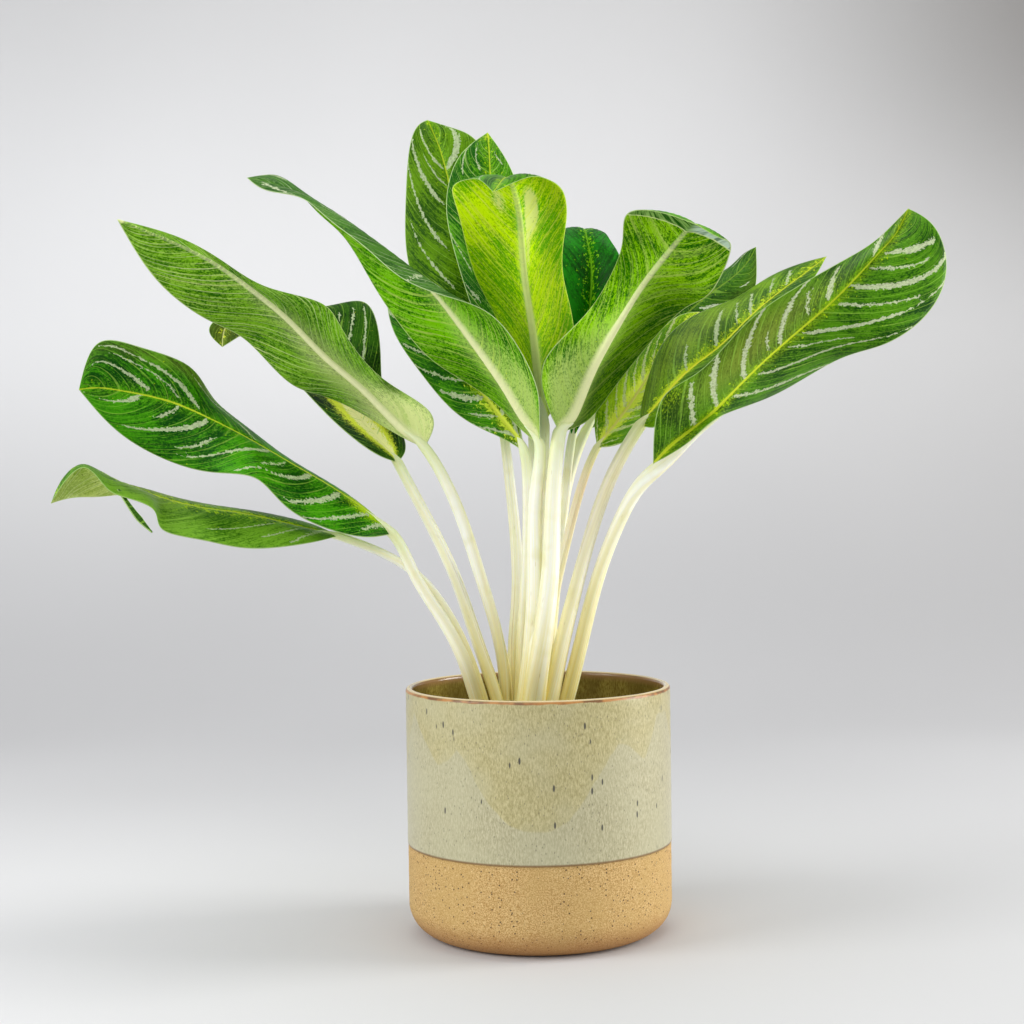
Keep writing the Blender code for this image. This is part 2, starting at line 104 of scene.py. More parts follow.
class Reading:
    """A node's output, a number or a colour, that plain signs and the steps below work on."""

    def __init__(self, finish, socket):
        self.finish, self.socket = finish, socket

    __add__, __sub__, __mul__ = sign("ADD"), sign("SUBTRACT"), sign("MULTIPLY")
    __truediv__, __pow__, __abs__ = sign("DIVIDE"), sign("POWER"), sign("ABSOLUTE")
    larger, zigzag = sign("MAXIMUM"), sign("PINGPONG")

    def __rsub__(self, other):
        return self.finish.number("SUBTRACT", other, self)

    def step(self, low, high, bottom=0.0, top=1.0):
        """A smooth step from bottom to top as the reading goes from low to high."""
        return self.finish.node("MapRange", 0, dict(enumerate((self, low, high, bottom, top))),
                                interpolation_type="SMOOTHSTEP")

    def shades(self, low, high, dark, light):
        """A colour that goes from dark to light as the reading goes from low to high."""
        return self.finish.mix(self.step(low, high), dark, light)

    def under(self, share, colour):
        """This colour with its share of another colour laid over it."""
        return self.finish.mix(share, self, colour)


class Finish:
    """A material's nodes in plain steps: each step adds a node and gives back its output."""

    def __init__(self, name):
        self.material = bpy.data.materials.new(name)
        self.material.use_nodes = True
        self.tree = self.material.node_tree
        self.place = self.node("TexCoord", "Object", {})

    def feed(self, node, inputs):
        """Link a reading to each input, or set the input to a number, colour or vector."""
        for key, value in inputs.items():
            if isinstance(value, Reading):
                self.tree.links.new(value.socket, node.inputs[key])
            else:
                node.inputs[key].default_value = value

    def node(self, kind, output, inputs, **settings):
        """A new node with its settings made and its inputs fed, as the reading of one output."""
        node = self.tree.nodes.new("ShaderNode" + kind)
        for key, value in settings.items():
            setattr(node, key, value)
        self.feed(node, inputs)
        return Reading(self, node.outputs[output])

    def number(self, operation, *values):
        return self.node("Math", 0, dict(enumerate(values)), operation=operation)

    def mix(self, share, *colours):
        """The first colour with a share of the second over it; three plain numbers are a tone."""
        first, second = (tone(*colour) if isinstance(colour, tuple) else colour for colour in colours)
        return self.node("Mix", 2, {0: share, 6: first, 7: second}, data_type="RGBA")

    def mapped(self, vector=None, **how):
        return self.node("Mapping", 0, {"Vector": vector or self.place, **how})

    def pattern(self, kind, output, scale, vector, **inputs):
        """A texture's output. A scale of three numbers stretches it along the three axes."""
        if isinstance(scale, tuple):
            vector, scale = self.mapped(vector, Scale=scale), 1.0
        return self.node(kind, output, {"Vector": vector or self.place, "Scale": scale, **inputs})

    def noise(self, scale, vector=None, detail=2.0, rough=0.5):
        return self.pattern("TexNoise", "Fac", scale, vector, Detail=detail, Roughness=rough)

    def cells(self, scale, vector=None, output="Distance"):
        return self.pattern("TexVoronoi", output, scale, vector)

    def read(self, attribute, output="Fac"):
        return self.node("Attribute", output, {}, attribute_name=attribute)

    def axes(self, vector=None):
        """The three axes of a vector, each as a reading of its own."""
        split = self.node("SeparateXYZ", 0, {0: vector or self.place}).socket.node
        return [Reading(self, output) for output in split.outputs]

    def bump(self, height, distance, strength=1.0, **under):
        return self.node("Bump", 0, {"Height": height, "Distance": distance, "Strength": strength, **under})

    def done(self, piece, colour, roughness, relief, **constants):
        """Feed the shader, with each constant on its own socket, and put the finish on the piece."""
        shader = self.tree.nodes["Principled BSDF"]
        self.feed(shader, {"Base Color": colour, "Roughness": roughness, "Normal": relief})
        self.feed(shader, {key.replace("_", " "): value for key, value in constants.items()})
        piece.data.materials.append(self.material)


def paper_sweep():
    """The sweep: a flat floor, a quarter circle, then a straight wall, carried across X."""
    turn = np.linspace(0, math.pi / 2, BEND_STEPS)
    x = np.array([PAPER_HALF_WIDTH, -PAPER_HALF_WIDTH])
    y = np.concatenate([[PAPER_FRONT], BEND_START + BEND_RADIUS * np.sin(turn), [BEND_START + BEND_RADIUS]])
    z = np.concatenate([[0.0], BEND_RADIUS * (1 - np.cos(turn)), [PAPER_HEIGHT]])
    return mesh_piece("paper_sweep", together(x, y[:, None], z[:, None]), grid_faces(len(y), len(x)))


sweep = paper_sweep()
paper = Finish("studio_paper")
sheet = paper.noise(1.6, detail=1.0).shades(0.35, 0.65, (219, 219, 220), (224, 224, 225))
paper_x, paper_y, paper_z = paper.axes()
# Painted shade: the wall is painted darker toward its right, where the light falls off.
painted_shade_right_wall = paper_x.step(-0.25, 1.1, 0.0, 0.52) * paper_y.step(0.6, 1.5)
sheet = sheet.under(painted_shade_right_wall, (120, 118, 116))
# Painted shade: the wall is painted darker toward its top.
sheet = sheet.under(paper_z.step(0.55, 1.25, 0.0, 0.38), (120, 118, 116))
# Painted shade: the wall's top right corner is painted darker still.
corner = paper_x.step(0.25, 0.95, 0.0, 0.75) * paper_z.step(0.4, 0.95)
sheet = sheet.under(corner, (110, 106, 102))
low_shade = paper_z.step(0.50, 0.05, 0.0, 0.42) - paper_y.step(1.1, 0.0, 0.0, 0.20)
sheet = sheet.under(low_shade, (134, 133, 135))
# Painted light: the floor near the pot's left is painted lighter, as a pool of light.
painted_light_near_left = paper_x.step(0.05, -0.35, 0.0, 0.3) * paper_y.step(0.5, -0.1)
sheet = sheet.under(painted_light_near_left, (250, 250, 252))
# Painted light: the floor far out from the pot is painted lighter, where the lamps' light falls off.
far_out = (paper_x * paper_x + paper_y * paper_y) ** 0.5
sheet = sheet.under(far_out.step(1.9, 3.6) * paper_y.step(0.9, 0.2), (250, 250, 252))
grain = paper.noise(900.0, detail=3.0)
paper.done(sweep, sheet, 0.85, paper.bump(grain, 0.0002, 0.2), Specular_IOR_Level=0.2)

for name, (place, target, size, power, colour) in LIGHTS.items():
    light = bpy.data.lights.new(name, "AREA")
    light.shape = "RECTANGLE"
    light.size, light.size_y = size
    light.energy = power
    light.color = colour
    lamp = bpy.data.objects.new(name, light)
    aim = (Vector(target) - Vector(place)).to_track_quat("-Z", "Y")
    lamp.matrix_world = Matrix.Translation(place) @ aim.to_matrix().to_4x4()
    scene.collection.objects.link(lamp)

world = bpy.data.worlds.new("studio_air")
world.use_nodes = True
air = world.node_tree.nodes["Background"].inputs
air["Color"].default_value = tone(236, 238, 240)
air["Strength"].default_value = AIR_STRENGTH
scene.world = world
scene.view_settings.view_transform = "Standard"

cos_yaw, sin_yaw = math.cos(CAMERA_YAW), math.sin(CAMERA_YAW)
cos_down, sin_down = math.cos(CAMERA_DOWN), math.sin(CAMERA_DOWN)
forward = Vector((sin_yaw * cos_down, cos_yaw * cos_down, -sin_down))
level = Vector((cos_yaw, -sin_yaw, 0.0))
upright = level.cross(forward)
camera_right = math.cos(CAMERA_ROLL) * level + math.sin(CAMERA_ROLL) * upright
camera_up = -math.sin(CAMERA_ROLL) * level + math.cos(CAMERA_ROLL) * upright
lens = bpy.data.cameras.new("photo_camera")
lens.sensor_width = SENSOR
lens.lens = SENSOR * LENS_PIXELS / FRAME_PIXELS
camera = bpy.data.objects.new("photo_camera", lens)
camera.matrix_world = (Matrix.Translation(CAMERA_PLACE)
                       @ Matrix((camera_right, camera_up, -forward)).transposed().to_4x4())
scene.collection.objects.link(camera)
scene.camera = camera

# The pot is thrown stoneware. A sage glaze covers its upper part inside and out, a second dip
# hangs in lobes below the rim, iron shows through where the glaze is thin, and the foot is bare clay.
POT_RADIUS = 0.075
POT_HEIGHT = 0.1394
POT_WALL = 0.004
POT_FLOOR = 0.007
FOOT_ROUNDING = 0.018
INNER_ROUNDING = 0.014
GLAZE_LINE = 0.0519
GLAZE_DEPTH = 0.0003
GLAZE_LIP = 0.0006
POT_SIDES = 240
THROWING_WAVE = 0.00005
OVAL_WAVE = 0.00004
# The second dip's lower edge: angle round the pot from the front in degrees, height in millimetres.
DIP_EDGE = [(-180, 92), (-158, 70), (-136, 92), (-121, 116), (-106, 88), (-92, 72), (-78, 100), (-66, 128),
            (-54, 112), (-47, 103), (-41, 106), (-36, 112), (-31, 106), (-26, 94), (-20, 82), (-12, 73),
            (-4, 70), (4, 70), (12, 76), (18, 85), (24, 96), (30, 108), (35, 115), (40, 113), (46, 107),
            (50, 104), (54, 112), (60, 126), (70, 128), (84, 98), (98, 72), (114, 84), (132, 112), (150, 98),
            (166, 84), (180, 92)]


def arc(centre, radius, start, end, steps):
    """Points on a circular arc, angles in degrees."""
    angle = np.radians(np.linspace(start, end, steps + 1))
    return together(centre[0] + radius * np.cos(angle), centre[1] + radius * np.sin(angle))


def line(start, end, steps):
    """Points on a straight line, without its last one."""
    return np.linspace(start, end, steps, endpoint=False)


def pot_section():
    """The pot's section from the middle of its foot, up the outside, over the rim and down the inside."""
    clay = POT_RADIUS - GLAZE_DEPTH
    inner = POT_RADIUS - POT_WALL
    rim = POT_HEIGHT - POT_WALL / 2
    low = GLAZE_LINE - GLAZE_LIP
    return np.concatenate([
        line((0.0002, 0.0), (clay - FOOT_ROUNDING, 0.0), 12),
        arc((clay - FOOT_ROUNDING, FOOT_ROUNDING), FOOT_ROUNDING, -90, 0, 20),
        line((clay, FOOT_ROUNDING + 0.001), (clay, low), 16),
        arc((POT_RADIUS - GLAZE_LIP, low + 0.0005), GLAZE_LIP, -60, 0, 4),
        line((POT_RADIUS, low + 0.0012), (POT_RADIUS, rim), 44),
        arc((POT_RADIUS - POT_WALL / 2, rim), POT_WALL / 2, 0, 180, 16),
        line((inner, rim - 0.001), (inner, POT_FLOOR + INNER_ROUNDING), 30),
        arc((inner - INNER_ROUNDING, POT_FLOOR + INNER_ROUNDING), INNER_ROUNDING, 0, -90, 8),
        line((inner - INNER_ROUNDING - 0.002, POT_FLOOR), (0.0, POT_FLOOR), 8)])


def tube_faces(rows, sides, flip=False):
    """Faces of a closed tube: quads between its rings, and a fan at each end to one of the two end
    points, which are numbered after the rings. They are flipped where the rings run the other way."""
    j = np.arange(sides)
    k = (j + 1) % sides
    end, top = rows * sides, (rows - 1) * sides
    fans = np.concatenate([together(end, k, j), together(end + 1, top + j, top + k)])
    return [part[:, ::-1] if flip else part for part in (grid_faces(rows, sides, closed=True), fans)]


def with_ends(rings):
    """A tube's points as one list, with the middles of its first and last ring put last."""
    return np.concatenate([rings.reshape(-1, 3), rings[[0, -1]].mean(axis=1)])


def turned_piece(name, profile, sides, uneven):
    """A body turned from a profile of (radius, height): x = r cos a, y = r sin a. Its points are then
    made uneven, and both its ends are closed."""
    radius, height = profile.T[..., None]
    angle = np.linspace(0, 2 * math.pi, sides, endpoint=False) - math.pi / 2
    points = together(radius * np.cos(angle), radius * np.sin(angle), height)
    points = with_ends(uneven(points))
    return mesh_piece(name, points, *tube_faces(len(profile), sides)), points


def thrown(points):
    """Hand throwing: the wall's radius swells and dips by a few hundredths of a millimetre."""
    x, y, height = np.moveaxis(points, -1, 0)
    around = np.arctan2(x, -y)
    swell = THROWING_WAVE * np.sin(height * 620 + around) + OVAL_WAVE * np.sin(around * 3)
    points[..., :2] *= (1 + swell * np.clip(height / 0.02, 0, 1) / POT_RADIUS)[..., None]
    return points


def add_reading(piece, name, values):
    """Write a number, vector or colour for each vertex that the materials can read by name."""
    values = np.asarray(values, np.float32).reshape(len(piece.data.vertices), -1)
    kinds = {1: ("FLOAT", "value"), 3: ("FLOAT_VECTOR", "vector"), 4: ("FLOAT_COLOR", "color")}
    kind, key = kinds[values.shape[1]]
    piece.data.attributes.new(name, kind, "POINT").data.foreach_set(key, values.ravel())


pot, pot_points = turned_piece("stoneware_pot", pot_section(), POT_SIDES, thrown)
pot_angle = np.degrees(np.arctan2(pot_points[:, 0], -pot_points[:, 1]))
dip_height = np.interp(pot_angle, *np.transpose(DIP_EDGE))
add_reading(pot, "above_dip_edge", pot_points[:, 2] * 1000 - dip_height)
ring_number = np.arange(len(pot_points)) // POT_SIDES
section_heights = pot_section()[:, 1]
add_reading(pot, "inward", (ring_number > section_heights.argmax()) & (ring_number < len(section_heights)))

clay = Finish("stoneware_and_glaze")
height = clay.axes()[2]
runs = clay.noise((1500, 1500, 420), detail=3.0, rough=0.7)
broad = clay.noise(28.0)
fine = clay.noise(1500.0)
glaze = runs.shades(0.3, 0.7, (160, 153, 117), (201, 195, 160))
second_dip = runs.shades(0.3, 0.7, (158, 147, 94), (202, 192, 142))
edge_wander = clay.noise(70.0, detail=3.0) * 5.0 - 2.5
in_dip = (clay.read("above_dip_edge") + edge_wander).step(-1.0, 0.8)
glaze = glaze.under(in_dip * 0.9, second_dip)
glaze = glaze.under(broad.step(0.35, 0.7, 0.0, 0.45), (190, 186, 152))
drop_pick = clay.axes(clay.cells((200, 200, 66), output="Color"))[0]
drops = clay.cells((200, 200, 66)).step(0.155, 0.09) * drop_pick.step(0.50, 0.54)
drops = drops.larger(clay.cells((480, 480, 230)).step(0.17, 0.09) * 0.55)
glaze = glaze.under(drops * 0.92, (64, 62, 58))
sand = fine.shades(0.35, 0.65, (176, 136, 74), (218, 184, 124))
sand = sand.under(broad.step(0.4, 0.7, 0.0, 0.5), (196, 162, 98))
grit_pick = clay.axes(clay.cells(520.0, output="Color"))[1]
grit = clay.cells(520.0).step(0.30, 0.18) * grit_pick.step(0.60, 0.64)
sand = sand.under(grit * 0.9, (62, 42, 24))
pale_grit = clay.noise(1100.0, detail=1.0).step(0.64, 0.70, 0.0, 0.6)
sand = sand.under(pale_grit, (232, 206, 150))
# Painted shade: the bare clay is painted darker low on the foot, where it turns under.
painted_foot_shade = (clay.noise(55.0) * 0.004 + height).step(0.022, 0.004)
sand = sand.under(painted_foot_shade * 0.65, (168, 112, 60))
glazed = (clay.noise(160.0) * 0.0008 + height).step(GLAZE_LINE - 0.0003, GLAZE_LINE + 0.0004)
outside = sand.under(glazed, glaze)
glaze_border = abs(height - (GLAZE_LINE - 0.0002)).step(0.0010, 0.0002)
outside = outside.under(glaze_border * 0.8, (122, 88, 44))
iron = (clay.noise(110.0, detail=3.0) * 0.0016 + height).step(POT_HEIGHT - 0.0014, POT_HEIGHT - 0.0008)
iron = iron * height.step(POT_HEIGHT - 0.0002, POT_HEIGHT - 0.0009)
iron_tone = clay.noise(90.0).shades(0.4, 0.6, (116, 66, 26), (186, 122, 56))
outside = outside.under(iron * 0.9, iron_tone)
# Painted highlight: a pale cream line along the top of the rim.
outside = outside.under(height.step(POT_HEIGHT - 0.0008, POT_HEIGHT - 0.0002), (222, 202, 160))
inside = runs.shades(0.3, 0.7, (104, 86, 24), (160, 144, 72))
inside = inside.under(clay.noise(45.0).step(0.42, 0.62, 0.0, 0.6), (92, 76, 28))
inside = inside.under(height.step(POT_HEIGHT - 0.006, POT_HEIGHT - 0.0015), (150, 116, 74))
inward = clay.read("inward")
outside = outside.under(inward * height.step(POT_HEIGHT - 0.0004, POT_HEIGHT - 0.0012), inside)
dull = glazed.step(0.0, 1.0, 0.82, 0.33)
relief = clay.bump(clay.mix(glazed, fine, runs), 0.00012, 0.35)
relief = clay.bump(drops.larger(grit), 0.0002, -0.3, Normal=relief)
clay.done(pot, outside, dull - inward * (dull - 0.14), relief, Specular_IOR_Level=0.5)
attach(pot, "root")
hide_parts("pot")

# The soil is dark peat with bark crumbs and a little white perlite, filled to about 25 mm below the
# rim and pressed loosely round the stalks.
SOIL_TOP = 0.114
SOIL_GAP = 0.0003
SOIL_RADIUS = POT_RADIUS - POT_WALL - SOIL_GAP
SOIL_EDGE = 0.002
SOIL_RISE = 0.0012
SOIL_SIDES = 200
GROUND_WAVES = 14
GROUND_WAVE_RANGE = (90.0, 900.0)
GROUND_SEED = 3
LUMP_SIDES = 8
LUMP_RINGS = 4
WALL_CLEARANCE = 0.0045
BARK = dict(count=420, smallest=0.0012, largest=0.0034, flat=0.6, seed=21)
PERLITE = dict(count=60, smallest=0.0009, largest=0.0017, flat=0.8, seed=33)


def rolling(x, y):
    """Uneven ground: a sum of sine waves in random directions, finer ones lower."""
    pick = np.random.default_rng(GROUND_SEED)
    turns = pick.uniform(0, 2 * math.pi, (2, GROUND_WAVES))
    waves = zip(np.geomspace(*GROUND_WAVE_RANGE, GROUND_WAVES), *turns)
    return SOIL_RISE / 3 * sum(np.sin(size * (x * np.cos(way) + y * np.sin(way)) + start) / (1 + k * 0.35)
                               for k, (size, way, start) in enumerate(waves))


def soil_section():
    """The soil's section: up from the pot's floor along its wall, then in over the top."""
    corner = (POT_RADIUS - POT_WALL - INNER_ROUNDING, POT_FLOOR + INNER_ROUNDING)
    floor = POT_FLOOR + SOIL_GAP
    return np.concatenate([line((0.0002, floor), (corner[0], floor), 4),
                           arc(corner, INNER_ROUNDING - SOIL_GAP, -90, 0, 8),
                           line((SOIL_RADIUS, corner[1] + 0.001), (SOIL_RADIUS, SOIL_TOP - SOIL_EDGE), 20),
                           arc((SOIL_RADIUS - SOIL_EDGE, SOIL_TOP - SOIL_EDGE), SOIL_EDGE, 0, 90, 4),
                           line((SOIL_RADIUS - 0.0026, SOIL_TOP), (0.0006, SOIL_TOP), 90)])


def settled(points):
    """Lift and lower the top of the soil by the rolling ground, and leave its sides alone."""
    x, y, z = np.moveaxis(points, -1, 0)
    on_top = np.clip((z - SOIL_TOP + 0.0004) / 0.0004, 0, 1)
    inside_wall = np.clip((SOIL_RADIUS - np.hypot(x, y)) / 0.006, 0, 1)
    points[..., 2] += on_top * inside_wall * rolling(x, y)
    return points


def repeated(parts, count, step):
    """The same faces for each of many like bodies, whose points are numbered one body after another."""
    first = np.arange(count)[:, None, None] * step
    return [(part + first).reshape(-1, part.shape[1]) for part in parts]


def lumps(name, count, smallest, largest, flat, seed):
    """Many small balls, each of a few rings of points and two ends, dented, squashed, turned and
    strewn evenly over the soil's top."""
    pick = np.random.default_rng(seed)
    around = np.linspace(0, 2 * math.pi, LUMP_SIDES, endpoint=False)
    down = np.linspace(0, math.pi, LUMP_RINGS + 2)[1:-1, None]
    rings = together(np.sin(down) * np.cos(around), np.sin(down) * np.sin(around), np.cos(down))
    ball = np.concatenate([rings.reshape(-1, 3), [[0, 0, 1], [0, 0, -1]]])
    size = pick.uniform(smallest, largest, count)[:, None, None]
    shape = pick.uniform(0.5, 1.0, (count, 1, 3)) * (1, 1, flat)
    dent = pick.uniform(0.82, 1.12, (count, len(ball), 1))
    points = ball[None] * dent * shape * size
    spin = pick.uniform(0, 2 * math.pi, count)
    turn = together(np.cos(spin), -np.sin(spin), np.sin(spin), np.cos(spin)).reshape(-1, 2, 2)
    points[..., :2] = np.einsum("nij,nvj->nvi", turn, points[..., :2])
    far = (SOIL_RADIUS - WALL_CLEARANCE) * np.sqrt(pick.uniform(0.0, 1.0, count))
    way = pick.uniform(0, 2 * math.pi, count)
    x, y = far * np.cos(way), far * np.sin(way)
    points += together(x, y, SOIL_TOP + rolling(x, y))[:, None, :]
    faces = repeated(tube_faces(LUMP_RINGS, LUMP_SIDES, flip=True), count, len(ball))
    return mesh_piece(name, points, *faces)


soil, _ = turned_piece("peat_soil", soil_section(), SOIL_SIDES, settled)
earth = Finish("peat")
clod = earth.noise(260.0, detail=4.0, rough=0.65)
fibre = earth.noise(1.0, earth.mapped(Scale=(300, 1400, 300), Rotation=(0, 0, 0.7)), detail=3.0)
peat = clod.shades(0.3, 0.7, (38, 27, 20), (84, 62, 45))
peat = peat.under(fibre.step(0.58, 0.72, 0.0, 0.6), (112, 84, 58))
earth.done(soil, peat, 0.93, earth.bump(clod, 0.0012, 0.8), Specular_IOR_Level=0.25)
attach(soil, "root")
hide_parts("soil")

bark = lumps("bark_crumbs", **BARK)
chips = Finish("bark")
chip_grain = chips.noise((500, 1300, 500), detail=3.0)
chip_colour = chips.noise(120.0).shades(0.35, 0.65, (60, 42, 30), (118, 84, 56))
chip_colour = chip_colour.under(chip_grain.step(0.4, 0.6, 0.0, 0.6), (44, 31, 24))
chips.done(bark, chip_colour, 0.88, chips.bump(chip_grain, 0.0003, 0.6), Specular_IOR_Level=0.3)
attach(bark, "root")

perlite = lumps("perlite_grains", **PERLITE)
grains = Finish("perlite")
pits = grains.noise(2400.0, detail=3.0)
white = pits.shades(0.35, 0.6, (196, 188, 172), (232, 228, 218))
grains.done(perlite, white, 0.8, grains.bump(pits, 0.0002, 0.7))
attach(perlite, "root")

# The fifteen leaf stalks are pale and juicy. Each widens into a sheath at its foot, they clasp one
# another where they leave the soil, and each runs on under its own blade as the midrib.
MM = 0.001
STALK_SIDES = 40
STALK_ROWS = 68
RIB_ROWS = 22
RIB_REACH = 0.9  # how far a stalk runs on under the blade, in midrib points
STALK_FOOT = 0.100
FOOT_WIDENING = 0.10
FOOT_SHARE = 0.22
TOP_TAPER = 0.85
CHANNEL_DEPTH = 0.17
CHANNEL_WIDTH = 0.42  # this, and the wings' place and width, in radians round the stalk
WING_PLACE = 0.85
WING_WIDTH = 0.22
WING_HEIGHTS = (0.12, 0.04)  # at the foot and at the top
FLATNESS = (1.16, 1.06)
MARKING_SHIFT = 7.3
LOBE_POINTS = 3  # midrib points below the place where a stalk with its own end meets the blade
TANNED = {"leaf_right_inner": 0.75, "leaf_right_middle": 0.35}  # how brown a stalk is near its top
